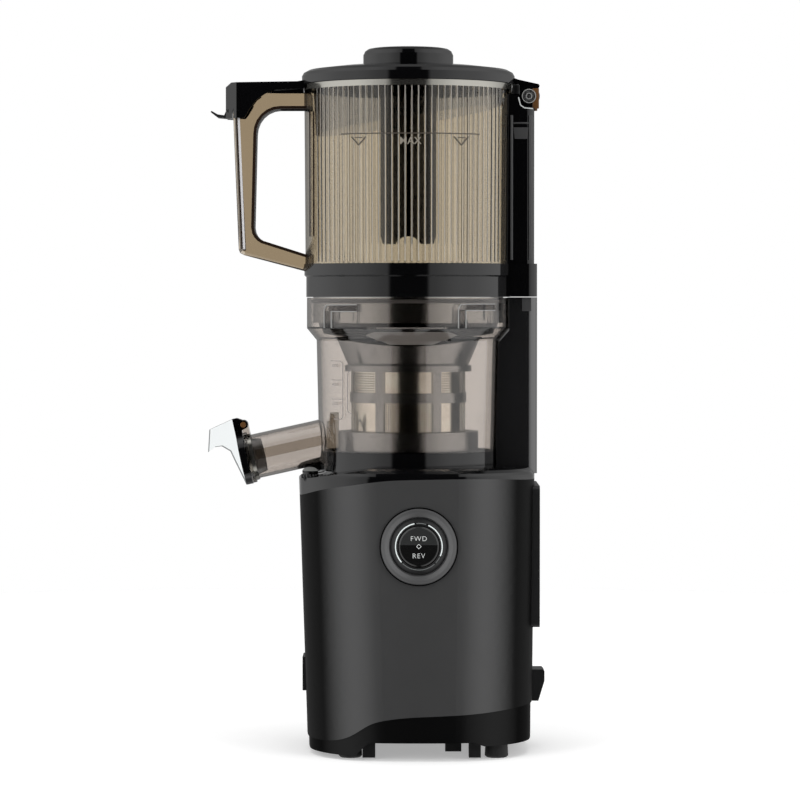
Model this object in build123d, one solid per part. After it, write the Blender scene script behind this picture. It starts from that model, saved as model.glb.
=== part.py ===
"""Cold press juicer: every separate piece as its own solid, in millimetres, +Z up.

Sizes are given from the drive axis at floor level; PLACE moves the whole machine so that the
middle of its footprint box stands on the origin.
"""
import os
from math import asin, cos, copysign, degrees, pi, radians, sin, sqrt, tan

from build123d import *

os.makedirs("parts", exist_ok=True)

# ---------------------------------------------------------------- driving dimensions
# motor base
body_x_top = 5.8          # middle of the base, right of the drive axis, at the top seam
body_x_low = 7.9
body_hw_top = 81.25       # half width at the top seam
body_hw_low = 77.4        # half width at the floor end
body_hd_top = 84.0        # half depth at the top seam
body_hd_low = 80.5
body_side_r = 330.0       # radius of the bowed sides, in plan
body_corner_r = 57.0
body_z_low = 3.0
body_z_top = 190.0
wall = 2.6
deck_z = body_z_top + 7.0  # top of the gloss cover
dip_z = body_z_top + 1.0   # its height at the spout side
seat_z = body_z_top + 2.0  # floor of the recess the drum stands in
plate_z = 12.6            # underside of the bottom plate
plate_t = 2.4
skirt_in = 4.2            # inner face of the skirt, in from the base outline
vent_hw = 36.0
vent_z1 = body_z_top - 7.0
vent_z0 = vent_z1 - 97.0
foot_r = 8.0
foot_y = 52.0
foot_x_left = -39.3
foot_x_right = 59.7
seam_top = [(x, body_z_top - drop) for x, drop in (
    (-95, 22), (-75.5, 14), (-60, 8.5), (-40, 4.7), (-17, 1.5), (7, 0.5), (62, 0.6), (86, 2.3),
    (105, 3.5))]
seam_low = [(-95, 11.6), (-70, 11.8), (-52, 12.6), (-42, 15.2), (-33, 20.4), (-26, 24.8),
            (-15, 28.0), (19, 30.7), (56, 32.8), (75, 34.3), (105, 34.6)]

# cord hood on the flank
cord_x, cord_z, cord_r = 89.6, 48.6, 2.6

# switch
switch_x = 6.9
switch_z = body_z_top - 45.1
bezel_r = 26.0
recess_r = 19.3
ring_r = 16.2
rocker_r = 13.5

# drum and spout
drum_r = 70.0             # upper band
drum_low_r = 63.3         # under the shoulder
drum_foot_r = 61.6
drum_wall = 2.3
drum_z_low = seat_z + 0.5
floor_z = seat_z + 12.0   # juice floor inside the drum
bowl_z = seat_z + 14.0    # joint between the clear bowl and the black base
shoulder_z = seat_z + 90.0
band_z = shoulder_z + 8.2
drum_z_top = band_z + 21.1
spout_tilt = 12.5
spout_z = seat_z + 33.0   # height of the spout axis above the floor, at the drive axis
spout_r = 15.3
spout_bore = 13.3
spout_end = 113.2         # along the spout axis
duct_turn = 100.0         # direction of the pulp duct, degrees from +X
duct_w = 28.0
duct_wall = 1.6
duct_end = 103.4
pulp_hole_r = 10.5
pulp_orbit = drum_foot_r - 35.6

# rear column
column_x = drum_r + 18.6
column_hw = 17.2
column_z = drum_z_top + 0.2

# strainer, auger, wiper
strainer_r = drum_foot_r - 22.2
ring1_r = strainer_r + 4.3
mouth_r = strainer_r + 10.6
mouth_z = shoulder_z + 2.5
neck_z = mouth_z - 19.5
strainer_z = floor_z + 9.5
row2_top = neck_z - 25.8  # top of the lower row of windows
row1_low = neck_z - 18.9
row1_top = neck_z - 4.6
wiper_r = strainer_r + 9.0
wiper_z = floor_z + 2.2
wiper_h = 13.0
auger_r = strainer_r - 3.0
hex_flats = 12.0
shaft_top = strainer_z + 22.5

# hopper, lid and pusher
hopper_r_top = 71.7
hopper_r_low = hopper_r_top - 0.8
hopper_wall = 3.0
ring_z_low = drum_z_top + 0.4
hopper_z_low = drum_z_top + 14.7
ledge_z = drum_z_top + 23.2
hopper_z_top = ledge_z + 123.0
throat_r = 30.0
lid_r = hopper_r_top + 1.6
lid_z_top = hopper_z_top + 12.5
guard_r = hopper_r_top - 5.7
knob_r = 31.0
knob_z_top = lid_z_top + 12.7
pusher_r = 19.5
pusher_z_low = ledge_z + 14.0
hinge_x = hopper_r_top + 11.0
hinge_z = hopper_z_top - 8.2
spine_hw = 20.0
spine_x = hopper_r_top + 14.7

# handle (outline in x, z)
handle_x = -hopper_r_top - 48.6  # outer edge at the top
handle_x_low = handle_x + 3.7
handle_z_top = hopper_z_top - 5.5
handle_z_low = ledge_z - 5.7     # where the lower arm meets the jug
grip_x0 = handle_x + 16.0
grip_x_low = grip_x0 - 1.6
grip_z_top = handle_z_top - 11.4
grip_z_left = handle_z_low + 19.2
grip_z_right = handle_z_low + 12.4
handle_hw = 14.0
nose_hw = 16.6
nose_bevel = 7.6           # corner cut off each end of the nose, seen from above
nose_z = hopper_z_top + 1.2
latch_x = handle_x - 2.9
latch_z = nose_z - 19.3

# gears
module_box = 1.0
teeth_sun, teeth_planet, teeth_ring = 12, 24, 60
planet_orbit = module_box * (teeth_sun + teeth_planet) / 2
planet_dirs = (90.0, 210.0, 330.0)
module_drum = 1.5 * strainer_r / 39.4
teeth_auger, teeth_idler, teeth_wiper = 16, 18, 52
idler_orbit = module_drum * (teeth_auger + teeth_idler) / 2
backlash = 0.36           # taken off each tooth, per millimetre of module

gap = 0.3                 # between parts that lift off one another
fit = 0.05                # radial clearance of running fits
beyond = 600.0            # past every part, for cuts that go right through

# the machine's box, from the drive axis
lever_tip = (spout_end + 25.8, 10.1)   # along the spout and above its axis
x_min = (-lever_tip[0] * cos(radians(spout_tilt)) - lever_tip[1] * sin(radians(spout_tilt)))
x_max = 94.0              # cord hood
bezel_y = -(body_hd_low + (body_hd_top - body_hd_low)
            * (switch_z - body_z_low) / (body_z_top - body_z_low))
y_min = bezel_y - 1.2
y_max = (duct_end * sin(radians(duct_turn)) + duct_w / 2 * abs(cos(radians(duct_turn))))
PLACE = Pos(-(x_min + x_max) / 2, -(y_min + y_max) / 2, 0)


# ---------------------------------------------------------------- helpers
def cyl(r, z0, z1, x=0.0, y=0.0):
    return Pos(x, y, z0) * Cylinder(r, z1 - z0, align=(Align.CENTER, Align.CENTER, Align.MIN))


def tube(ro, ri, z0, z1, x=0.0, y=0.0):
    return cyl(ro, z0, z1, x, y) - cyl(ri, z0 - 1, z1 + 1, x, y)


def box(x0, x1, y0, y1, z0, z1):
    return Pos((x0 + x1) / 2, (y0 + y1) / 2, (z0 + z1) / 2) * Box(x1 - x0, y1 - y0, z1 - z0)


def turned(points):
    """Solid of revolution about the drive axis from (radius, height) points."""
    return revolve(make_face(Polyline(*[(r, 0, z) for r, z in points], close=True)), Axis.Z)


def side_prism(points, y0, y1):
    """(x, z) outline carried from y0 to y1."""
    face = make_face(Polyline(*[(x, y0, z) for x, z in points], close=True))
    return extrude(face, amount=y1 - y0, dir=(0, 1, 0))


def rod(start, direction, r, length):
    return Plane(origin=start, z_dir=direction) * Cylinder(
        r, length, align=(Align.CENTER, Align.CENTER, Align.MIN))


def cross_rod(x, z, r, half, y=0.0):
    return rod((x, y - half, z), (0, 1, 0), r, 2 * half)


def polar(r, turn, z=0.0):
    return (r * cos(radians(turn)), r * sin(radians(turn)), z)


def around(shape, turn):
    return Rot(0, 0, turn) * shape


def at_height(low, top, z):
    return low + (top - low) * (z - body_z_low) / (body_z_top - body_z_low)


def plan(z, inset=0.0, lift=0.0):
    """Rounded-square section of the base at height z, raised by lift."""
    x = at_height(body_x_low, body_x_top, z)
    a = at_height(body_hw_low, body_hw_top, z) - inset
    b = at_height(body_hd_low, body_hd_top, z) - inset
    side = body_side_r - inset
    face = (Pos(x + a - side, 0) * Circle(side)) & (Pos(x - a + side, 0) * Circle(side))
    face = face & (Pos(x, b - side) * Circle(side)) & (Pos(x, side - b) * Circle(side))
    face = fillet(face.vertices(), body_corner_r - inset)
    return (Pos(0, 0, z + lift) * face).faces()[0]


def base_solid(z0, z1, inset=0.0):
    return loft([plan(z0, inset), plan(z1, inset)], ruled=True)


def seam_side(seam, z_far):
    """Everything between a seam curve and the height z_far, all through the depth."""
    (xa, za), (xb, zb) = seam[0], seam[-1]
    edge = Spline(*[(x, -130, z) for x, z in seam])
    rest = Polyline((xb, -130, zb), (xb, -130, z_far), (xa, -130, z_far), (xa, -130, za))
    return extrude(make_face([edge, *rest.edges()]), amount=260, dir=(0, 1, 0))


def gear_face(teeth, module, inner=False):
    """Tooth outline as a flat face; tooth 0 is centred on +X."""
    pitch_r = module * teeth / 2
    sign = 1 if inner else -1
    tip = pitch_r + sign * -module
    root = pitch_r + sign * 1.25 * module
    outline = []
    for i in range(teeth):
        middle = 2 * pi * i / teeth
        flank = []
        for r in (root, pitch_r, tip):
            half = (pi / 4 - backlash / 2) * module + sign * (r - pitch_r) * tan(radians(20))
            flank.append((r, asin(half / r)))
        outline += [(r, middle - w) for r, w in flank]
        outline += [(r, middle + w) for r, w in reversed(flank)]
    return make_face(Polyline(*[(r * cos(a), r * sin(a), 0) for r, a in outline], close=True))


def gear(teeth, module, z0, z1, turn=0.0):
    return Pos(0, 0, z0) * Rot(0, 0, turn) * extrude(gear_face(teeth, module), amount=z1 - z0)


def ring_gear(teeth, module, outer_r, z0, z1):
    inside = Pos(0, 0, z0 - 1) * extrude(gear_face(teeth, module, inner=True),
                                         amount=z1 - z0 + 2)
    return cyl(outer_r, z0, z1) - inside


def whole(shape):
    """One solid where the pieces overlap."""
    solids = shape.solids()
    return solids[0] if len(solids) == 1 else Compound(children=list(solids))


def put(name, shape):
    shape = PLACE * shape
    solids = shape.solids()
    shape = solids[0] if len(solids) == 1 else Compound(label=name, children=list(solids))
    shape.label = name
    export_step(shape, f"parts/{name}.step")
    b = shape.bounding_box()
    print(f"{name:18s} solids {len(solids):2d}  x {b.min.X:7.1f} {b.max.X:7.1f}"
          f"  y {b.min.Y:7.1f} {b.max.Y:7.1f}  z {b.min.Z:6.1f} {b.max.Z:6.1f}")


# ---------------------------------------------------------------- directions used twice
sp = radians(spout_tilt)
spout_dir = (-cos(sp), 0, -sin(sp))


def along_spout(s, v=0.0, y=0.0):
    """Point s mm out along the spout axis and v mm above it."""
    return (-s * cos(sp) - v * sin(sp), y, spout_z - s * sin(sp) + v * cos(sp))


def spout_rod(r, s0, s1):
    return rod(along_spout(s0), spout_dir, r, s1 - s0)


def duct_box(half, r0, r1, z0, z1):
    """Block along the pulp duct's direction."""
    return around(box(r0, r1, -half, half, z0, z1), duct_turn)


# ---------------------------------------------------------------- base housing
def column_block(z0, z1, half=column_hw, right=column_x):
    block = box(40, right, -half, half, z0, z1)
    return fillet(block.edges().filter_by(Axis.Z).group_by(Axis.X)[-1], 7.0)


def base_fasteners():
    """Screws from the bottom plate into the motor cradle, bolts from the gearbox into the deck."""
    screws = [cyl(2.2, plate_z - 0.5, plate_z + 10, x, y) + cyl(4.2, plate_z - 3.0, plate_z, x, y)
              for x, y, _ in (polar(43, t) for t in (45, 135, 225, 315))]
    bolts = [cyl(2.2, lug_z0 - 1, seat_z - 8, x, y) + cyl(4.4, lug_z0 - 3.4, lug_z0, x, y)
             for x, y, _ in (polar(lug_orbit, t) for t in (0, 90, 180, 270))]
    return [whole(x) for x in screws], [whole(x) for x in bolts]


def make_base():
    outer = base_solid(body_z_low, body_z_top)
    inner = base_solid(body_z_low - 1, body_z_top + 1, wall)
    above = seam_side(seam_top, body_z_top + 50)
    below = seam_side(seam_low, -20)
    screws, bolts = base_fasteners()
    put("base_screws", Compound(children=screws + bolts))

    shell = outer - inner - above - below
    shell -= box(60, 95, -vent_hw, vent_hw, vent_z0, vent_z1)
    shell -= rod((switch_x, -60, switch_z), (0, -1, 0), bezel_r, 40)
    put("body_shell", shell)

    skirt = base_solid(body_z_low, 40, 1.0) - base_solid(body_z_low - 1, 41, skirt_in)
    skirt = skirt & below
    skirt -= side_prism([(-100, -9), (-100, 3.6), (-36, 3.2), (-27, plate_z - 0.1),
                         (44, plate_z - 0.1), (51, 9.8), (105, 9.3), (105, -9)], -130, 130)
    put("base_skirt", skirt)

    plate = base_solid(plate_z, plate_z + plate_t, skirt_in)
    for x0, x1 in ((-31.0, -22.4), (40.7, 48.8)):
        for y in (-1, 1):
            plate += box(x0, x1, y * 60 - 6, y * 60 + 6, 1.2, plate_z + 0.5)
    plate += box(25, 36, -48, -38, 3.0, plate_z + 0.5)
    for i in range(-3, 4):
        plate -= box(body_x_low - 24, body_x_low + 24, i * 8.0 - 2, i * 8.0 + 2, plate_z - 1,
                     plate_z + 4)
    for screw in screws:
        plate -= screw
    put("bottom_plate", plate)

    foot = turned([(0, 0), (foot_r - 1.2, 0), (foot_r, 1.2), (foot_r - 0.6, plate_z), (0, plate_z)])
    put("rubber_feet", Compound(children=[
        foot.moved(Location((x, y, 0)))
        for x in (foot_x_left, foot_x_right) for y in (-foot_y, foot_y)]))

    # gloss cover with the recess for the drum
    levels = ((0, 0.0), (1.6, 0.5), (3.4, 1.8), (5.2, 4.6), (6.4, 8.4), (deck_z - body_z_top, 14.0))
    deck = loft([plan(body_z_top - 30)] + [plan(body_z_top, inset, lift) for lift, inset in levels],
                ruled=True)
    deck = deck & above
    deck -= base_solid(body_z_top - 40, seat_z - 3.5, wall)
    rim = cyl(drum_foot_r + 5.5, 0, beyond)
    deck -= loft([plan(body_z_top - 10, 9.0), plan(body_z_top, 9.0, 1.0)], ruled=True) - rim
    for turn in (0, 90, 180, 270):
        deck += cyl(5.6, lug_z1, seat_z - 1, *polar(lug_orbit, turn)[:2])
    for bolt in bolts:
        deck -= bolt
    deck -= cyl(drum_foot_r + 1.6, seat_z, beyond)
    deck -= cyl(neck_r + 0.2, box_z0, beyond)
    deck -= column_block(body_z_top + 0.5, column_z)
    for lift in (0, 3, 6, 12):
        deck -= Pos(0, 0, lift) * spout_rod(spout_r + 2.0, 40, 140)
    deck -= box(-84, -58, -8.0, 8.0, dip_z - 1.2, dip_z + 30)
    deck -= duct_box(duct_w / 2 + 1.0, 40, 140, drum_z_low - 1.2, drum_z_low + 38)
    deck -= side_prism([(-22, deck_z + 5), (-22, deck_z), (-58, dip_z), (-100, dip_z - 7.7),
                        (-100, deck_z + 5)], -100, 100)
    deck += cyl(5.3, dip_z - 5, dip_z + 1.6, -67.2, -22.0)
    put("top_deck", whole(deck))

    # column behind the drum, with the lock tab at its top
    drum_room = turned([(0, seat_z - 20), (drum_foot_r + 1.3, seat_z - 20),
                        (drum_foot_r + 1.3, bowl_z), (drum_low_r + 1.3, shoulder_z - 1),
                        (drum_r + 1.3, band_z - 1.5), (drum_r + 1.3, beyond), (0, beyond)])
    column = column_block(body_z_top + 0.5, column_z) - drum_room
    column -= box(drum_r + 4, column_x - 3, -column_hw + 3, column_hw - 3, seat_z - 10,
                  column_z - 3)
    tab = box(drum_r + 8.0, drum_r + 14.2, -column_hw - 0.5, -column_hw + 4.0, column_z - 9.5,
              column_z - 0.2)
    column -= tab
    put("rear_column", whole(column))
    put("lock_tab", tab)

    # vent panel, cord hood and side grip on the flanks
    zc, zh = (vent_z0 + vent_z1) / 2, vent_z1 - vent_z0
    panel = box(82.5, 89.7, -vent_hw + 0.2, vent_hw - 0.2, vent_z0 + 0.2, vent_z1 - 0.2)
    panel = fillet(panel.edges().filter_by(Axis.X), 4.0)
    panel -= box(80, 87.2, -vent_hw + 3, vent_hw - 3, vent_z0 + 3, vent_z1 - 3)
    for i in range(9):
        z = zc + (i - 4) * 7.5 - 6
        panel -= box(70, 95, -26, 26, z - 1.4, z + 1.4)
    put("vent_panel", panel)

    hood = side_prism([(82, 54.9), (x_max - 1.2, 54.9), (x_max, 53.6), (x_max, 47.0),
                       (89.8, 33.2), (82, 33.2)], -11, 11)
    hood -= outer
    hood -= rod((cord_x, 1.0, cord_z), (0, 1, 0), cord_r, 30)
    put("cord_hood", whole(hood))
    put("side_grip", whole(box(-72.9, -60, -14, 14, 40.7, 63.9) - outer))

    # control board on standoffs against the back wall
    z0 = body_z_top - 130
    board = box(-44, 34, 61, 63, z0, z0 + 90)
    board += box(-40, -20, 50, 61.5, z0 + 10, z0 + 35) + box(10, 30, 48, 61.5, z0 + 40, z0 + 70)
    board += box(-14, 6, 55, 61.5, z0 + 50, z0 + 80) + cyl(6, z0 + 40, z0 + 60, -32, 56)
    for x in (-38, 28):
        for z in (z0 + 6, z0 + 84):
            board += box(x - 3, x + 3, 62, 95, z - 3, z + 3)
    put("control_board", whole(board & inner))


# ---------------------------------------------------------------- switch
def make_switch():
    face_y = bezel_y

    def dial(points):
        """Turned part about the switch axis from (radius, depth behind the face) points."""
        part = revolve(make_face(Polyline(*[(r, 0, -d) for r, d in points], close=True)), Axis.Z)
        return Location((switch_x, face_y, switch_z), (1, 0, 0), 90) * part

    put("switch_bezel", dial([(recess_r, 2.6), (recess_r + 0.8, 0.9), (recess_r + 3.5, -0.6),
                              (bezel_r - 1.2, -1.2), (bezel_r, -0.4), (bezel_r, 4.5),
                              (recess_r, 4.5)]))
    pocket = rocker_r + 0.7
    body = dial([(0, 10), (pocket, 10), (pocket, 0.4), (ring_r - 1.1, 0.2), (ring_r - 1.1, 1.4),
                 (ring_r, 1.4), (ring_r, 0.6), (recess_r, 2.6), (recess_r, 4.5), (recess_r - 1, 4.5),
                 (recess_r - 1, 22), (0, 22)])
    pivot_y = face_y + 5.0
    body -= rod((switch_x - pocket - 1.6, pivot_y, switch_z), (1, 0, 0), 1.5 + fit, 2 * pocket + 3.2)
    put("switch_box", whole(body))
    put("switch_ring", dial([(ring_r - 1.1, 0.1), (ring_r, 0.3), (ring_r, 1.4), (ring_r - 1.1, 1.4)]))
    rocker = dial([(0, 0.0), (rocker_r - 1.0, -0.5), (rocker_r, 0.2), (rocker_r, 2.4),
                   (5.0, 4.0), (5.0, 6.6), (0, 6.6)])
    rocker += rod((switch_x - pocket - 1.2, pivot_y, switch_z), (1, 0, 0), 1.5, 2 * pocket + 2.4)
    put("switch_rocker", whole(rocker))


# ---------------------------------------------------------------- motor and gearbox
box_z1 = seat_z - 22.0
box_z0 = box_z1 - 62.0
motor_z1 = box_z0 - 4.0
motor_z0 = plate_z + plate_t + 19.0
ring_outer = 34.5
neck_r = 20.8
lug_orbit = 52.0
lug_z0, lug_z1 = box_z1 - 9, box_z1 + 5


def make_drive():
    screws, bolts = base_fasteners()
    can = tube(45, 42.6, motor_z0, motor_z1)
    can += tube(45, 11.0, motor_z1 - 3, motor_z1) + tube(45, 11.0, motor_z0, motor_z0 + 3)
    for turn in range(0, 360, 60):
        can -= around(box(30, 60, -7, 7, motor_z0 + 8, motor_z0 + 20), turn)
        can -= around(box(20, 38, -5, 5, motor_z0 - 1, motor_z0 + 4), turn)
    put("motor_can", whole(can))
    stator = tube(42.6, 27.4, motor_z0 + 15, motor_z1 - 16)
    for z0, z1 in ((motor_z0 + 6, motor_z0 + 15), (motor_z1 - 16, motor_z1 - 7)):
        stator += tube(40, 29, z0, z1)
    put("motor_stator", whole(stator))
    put("motor_bearings", Compound(children=[
        whole(tube(11.0, 4 + fit, motor_z0 - 3, motor_z0 + 4)),
        whole(tube(11.0, 4 + fit, motor_z1 - 4, motor_z1 + 3))]))

    rotor = cyl(26.7, motor_z0 + 16, motor_z1 - 17) + cyl(12, motor_z0 + 8, motor_z0 + 16)
    rotor += cyl(4.0, motor_z0 - 16.5, box_z0 + 8)
    rotor += gear(teeth_sun, module_box, box_z0 + 7.5, box_z0 + 20)
    put("rotor", whole(rotor))
    z0 = motor_z0 - 15
    fan = tube(9, 4.0, z0, z0 + 9) + tube(33, 8, z0, z0 + 1.5)
    for turn in range(0, 360, 30):
        fan += around(box(8, 32, -0.8, 0.8, z0 + 1, z0 + 9.5), turn)
    put("cooling_fan", whole(fan))

    cradle = tube(48, 38, plate_z + plate_t, plate_z + plate_t + 7)
    for turn in (45, 135, 225, 315):
        cradle += around(box(38, 50, -7, 7, plate_z + plate_t, motor_z0), turn)
    for screw in screws:
        cradle -= screw
    put("motor_cradle", whole(cradle))

    housing = cyl(38.5, box_z0, box_z1) - cyl(ring_outer, box_z0 + 4, box_z1 + 1)
    housing += tube(45, 30, motor_z1, box_z0 + 2)
    housing -= cyl(11, motor_z1 - 1, motor_z1 + 3) + cyl(8.5, 0, box_z0 + 5)
    for turn in (0, 90, 180, 270):
        housing += around(box(36, lug_orbit + 6, -6, 6, lug_z0, box_z1), turn)
    for bolt in bolts:
        housing -= bolt
    put("gearbox_housing", whole(housing))
    put("ring_gear", ring_gear(teeth_ring, module_box, ring_outer, box_z0 + 5, box_z1 - 14))

    cover = cyl(38.5, box_z1, lug_z1) + cyl(neck_r, box_z1, seat_z - 0.5)
    for turn in (0, 90, 180, 270):
        cover += around(box(36, lug_orbit + 6, -6, 6, box_z1, lug_z1), turn)
    cover += cyl(ring_outer - 0.2, box_z1 - 3, box_z1)
    cover -= cyl(16, box_z1 - 10, box_z1 + 8) + cyl(12.5, 0, beyond)
    for bolt in bolts:
        cover -= bolt
    put("gearbox_cover", whole(cover))
    bearing = tube(16, 8 + fit, box_z1 - 2, box_z1 + 8)
    put("output_bearing", bearing)
    put("shaft_seal", tube(12.5, 8.35, seat_z - 9, seat_z - 1.5)
        + turned([(8.35, seat_z - 1.5), (14.5, seat_z - 1.5), (14.5, seat_z - 0.5 + 0.6),
                  (8.35, seat_z + 0.8)]) - cyl(8.35, 0, beyond)
        - (cyl(30, box_z0, seat_z - 0.5) - cyl(12.5, 0, beyond)))

    # stage 1 under stage 2, three planets each
    z1a, z1b = box_z0 + 8, box_z0 + 19
    z2a, z2b = box_z0 + 29, box_z0 + 42
    pins1 = Part() + [cyl(2.5, z1a - 1, z1b + 3, *polar(planet_orbit, d)[:2]) for d in planet_dirs]
    pins2 = Part() + [cyl(3.0, z2a - 1, z2b + 3, *polar(planet_orbit, d)[:2]) for d in planet_dirs]
    first = cyl(26.5, z1b + 1.5, z1b + 6) + pins1 + cyl(4.6, z1b + 5, z2a + 1)
    first += gear(teeth_sun, module_box, z2a - 1.5, z2b + 0.5)
    put("first_carrier", whole(first))
    out = cyl(26.5, z2b + 1.5, z2b + 8) + pins2 + cyl(8.0, z2b + 7, seat_z + 4)
    out += extrude(Plane.XY.offset(seat_z + 3) * RegularPolygon(
        hex_flats / 2, 6, major_radius=False), amount=shaft_top - seat_z - 3)
    put("drive_shaft", whole(out))
    for stage, (za, zb, pin) in enumerate(((z1a, z1b, 2.5), (z2a, z2b, 3.0)), 1):
        for k, d in enumerate(planet_dirs):
            planet = gear(teeth_planet, module_box, za, zb, d + 180.0 / teeth_planet)
            planet -= cyl(pin + fit, za - 1, zb + 1)
            x, y, _ = polar(planet_orbit, d)
            put(f"planet_{stage}{'abc'[k]}", Pos(x, y, 0) * planet)


# ---------------------------------------------------------------- drum
def make_drum():
    room = turned([(0, bowl_z - 5), (drum_foot_r - drum_wall, bowl_z - 5),
                   (drum_foot_r - drum_wall, bowl_z), (drum_low_r - drum_wall, shoulder_z + 1),
                   (drum_r - drum_wall, band_z + 1), (drum_r - drum_wall, beyond), (0, beyond)])
    bowl = turned([(0, bowl_z), (drum_foot_r, bowl_z), (drum_low_r, shoulder_z), (drum_r, band_z),
                   (drum_r, drum_z_top), (0, drum_z_top)])
    bowl += spout_rod(spout_r, 55, spout_end) + spout_rod(spout_r + 2.3, spout_end - 2.4, spout_end)
    ears = []
    for y in (6.6, -6.6):
        ear = rod(along_spout(spout_end - 1.8, 23.3, y - 1.5), (0, 1, 0), 2.9, 3.0)
        ear += side_prism([along_spout(s, v)[::2] for s, v in
                           ((spout_end - 4.7, 12), (spout_end, 12), (spout_end, 22),
                            (spout_end - 1.8, 26.2), (spout_end - 4.7, 22.5))], y - 1.5, y + 1.5)
        ears.append(ear)
    bowl += ears
    bowl -= room
    bowl -= spout_rod(spout_bore, 40, spout_end + 5)
    bowl -= rod(along_spout(spout_end - 1.8, 23.3, -12), (0, 1, 0), 1.7 + fit, 24)
    # bayonet ribs inside the upper band
    rib_zone = tube(drum_r - drum_wall + 0.1, drum_r - drum_wall - 1.5, band_z + 3, drum_z_top - 4)
    for turn in (-130, -45, 50, 135):
        foot = box(20, 90, -11, 11, band_z + 3, band_z + 6)
        leg = box(20, 90, 8, 11, band_z + 3, drum_z_top - 4)
        bowl += rib_zone & around(foot + leg, turn)
    put("drum_bowl", whole(bowl))

    # black base: floor, pedestal for the strainer, shaft tube, idler post, pulp duct
    base = cyl(drum_foot_r, drum_z_low, bowl_z) - cyl(drum_foot_r - drum_wall - 1, floor_z, beyond)
    base -= tube(drum_foot_r - 11.6, 21, drum_z_low - 1, floor_z - 3)
    pedestal = tube(strainer_r - 3.4, 15.2, floor_z - 1, strainer_z)
    pedestal -= cyl(module_drum * (teeth_idler / 2 + 1) + 1.0, 0, beyond, idler_orbit, 0)
    base += pedestal + tube(10.4, 8.4, floor_z - 1, floor_z + 0.8)
    base += side_prism([(-79.6, floor_z - 0.4), (-61.0, floor_z + 0.5), (-58, floor_z + 0.5),
                        (-58, drum_z_low), (-70, drum_z_low)], -6, 6)
    base += duct_box(duct_w / 2, 15, duct_end, drum_z_low, floor_z)
    base += cyl(14, drum_z_low, floor_z)
    base -= duct_box(duct_w / 2 - duct_wall, 16.5, duct_end + 5, drum_z_low + 1.4, floor_z - 1.6)
    base -= cyl(pulp_hole_r, drum_z_low + 1.4, beyond, *polar(pulp_orbit, duct_turn)[:2])
    base -= spout_rod(spout_r, 54.9, 140)
    base -= spout_rod(spout_bore, 44, 70)
    base -= cyl(8.4, 0, beyond)
    base -= cyl(12.0, drum_z_low - 1, floor_z - 5)
    base += cyl(4.0, floor_z - 1, wiper_z + 6.2, idler_orbit, 0)
    base = base & cyl(200, drum_z_low, beyond)
    # the outer length of the pulp duct is a moulding of its own, let into the base
    chute_room = duct_box(duct_w / 2, pulp_orbit + 14, duct_end + 1, drum_z_low, floor_z)
    put("drum_base", Compound(children=[whole(base - chute_room), whole(base & chute_room)]))
    put("drum_seal", tube(12.0, 8.4, drum_z_low + 0.6, floor_z - 5.2))

    idler = gear(teeth_idler, module_drum, wiper_z, wiper_z + 6, 180.0 / teeth_idler)
    idler -= cyl(4.0 + fit, 0, beyond)
    put("idler_gear", Pos(idler_orbit, 0, 0) * idler)

    # strainer: moulded frame with a fine steel screen inside it
    frame = turned([
        (strainer_r - 1.8, strainer_z), (strainer_r + 0.8, strainer_z),
        (strainer_r + 0.8, strainer_z + 4.3), (strainer_r, strainer_z + 4.3),
        (strainer_r, row2_top), (strainer_r + 0.8, row2_top), (strainer_r + 0.8, row1_low),
        (strainer_r, row1_low), (strainer_r, row1_top), (ring1_r, row1_top + 0.2),
        (ring1_r, row1_top + 4.2), (ring1_r - 2.1, neck_z), (mouth_r, mouth_z),
        (mouth_r - 2.0, mouth_z), (strainer_r - 1.6, neck_z - 1), (strainer_r - 1.8, neck_z - 7)])
    windows = [(strainer_z + 4.3, row2_top), (row1_low, row1_top)]
    for turn in range(30, 390, 60):
        for za, zb in windows:
            span = 2 * (strainer_r * sin(radians(30)) - 2.75)
            cutter = box(20, 60, -span / 2, span / 2, za, zb)
            frame -= around(cutter, turn) & tube(60, 20, strainer_z, mouth_z)
    frame += tube(strainer_r - 1.0, 15.6, strainer_z, strainer_z + 2.0)
    frame -= cyl(pulp_hole_r, strainer_z - 1, strainer_z + 3, *polar(pulp_orbit, duct_turn)[:2])
    put("strainer_frame", whole(frame))
    put("strainer_mesh", tube(strainer_r - 1.8, strainer_r - 2.2, strainer_z + 2.0, neck_z - 3.0))

    # auger with two flights, hex socket and its gear
    core = turned([(0, wiper_z + 6.3), (14.6, wiper_z + 6.3), (14.6, strainer_z + 2.6),
                   (27, strainer_z + 2.8), (26.5, strainer_z + 12.5), (15.5, mouth_z - 8.5),
                   (15.0, mouth_z - 0.5), (9.0, mouth_z + 8.5), (0, mouth_z + 12.5)])
    path = Helix(pitch=46, height=mouth_z - strainer_z - 19, radius=24)
    blade = Plane(origin=path @ 0, z_dir=path % 0, x_dir=(1, 0, 0)) * Rectangle(
        2 * (auger_r - 24), 4.0)
    flight = Pos(0, 0, strainer_z + 7) * sweep(blade, path=path, is_frenet=True)
    auger = core
    for turn in (0, 180):
        auger += around(flight, turn)
    auger = auger & cyl(auger_r, wiper_z - 3, beyond)
    auger = auger & (cyl(60, strainer_z + 2.6, beyond) + cyl(14.6, wiper_z - 3, beyond))
    auger += gear(teeth_auger, module_drum, wiper_z, wiper_z + 6.4)
    auger -= extrude(Plane.XY.offset(wiper_z - 5) * RegularPolygon(
        hex_flats / 2 + fit, 6, major_radius=False), amount=shaft_top + 1 - wiper_z + 5)
    foot = cyl(60, wiper_z - 3, strainer_z + 2.6)
    put("auger", Compound(children=[whole(auger - foot), whole(auger & foot)]))

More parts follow.
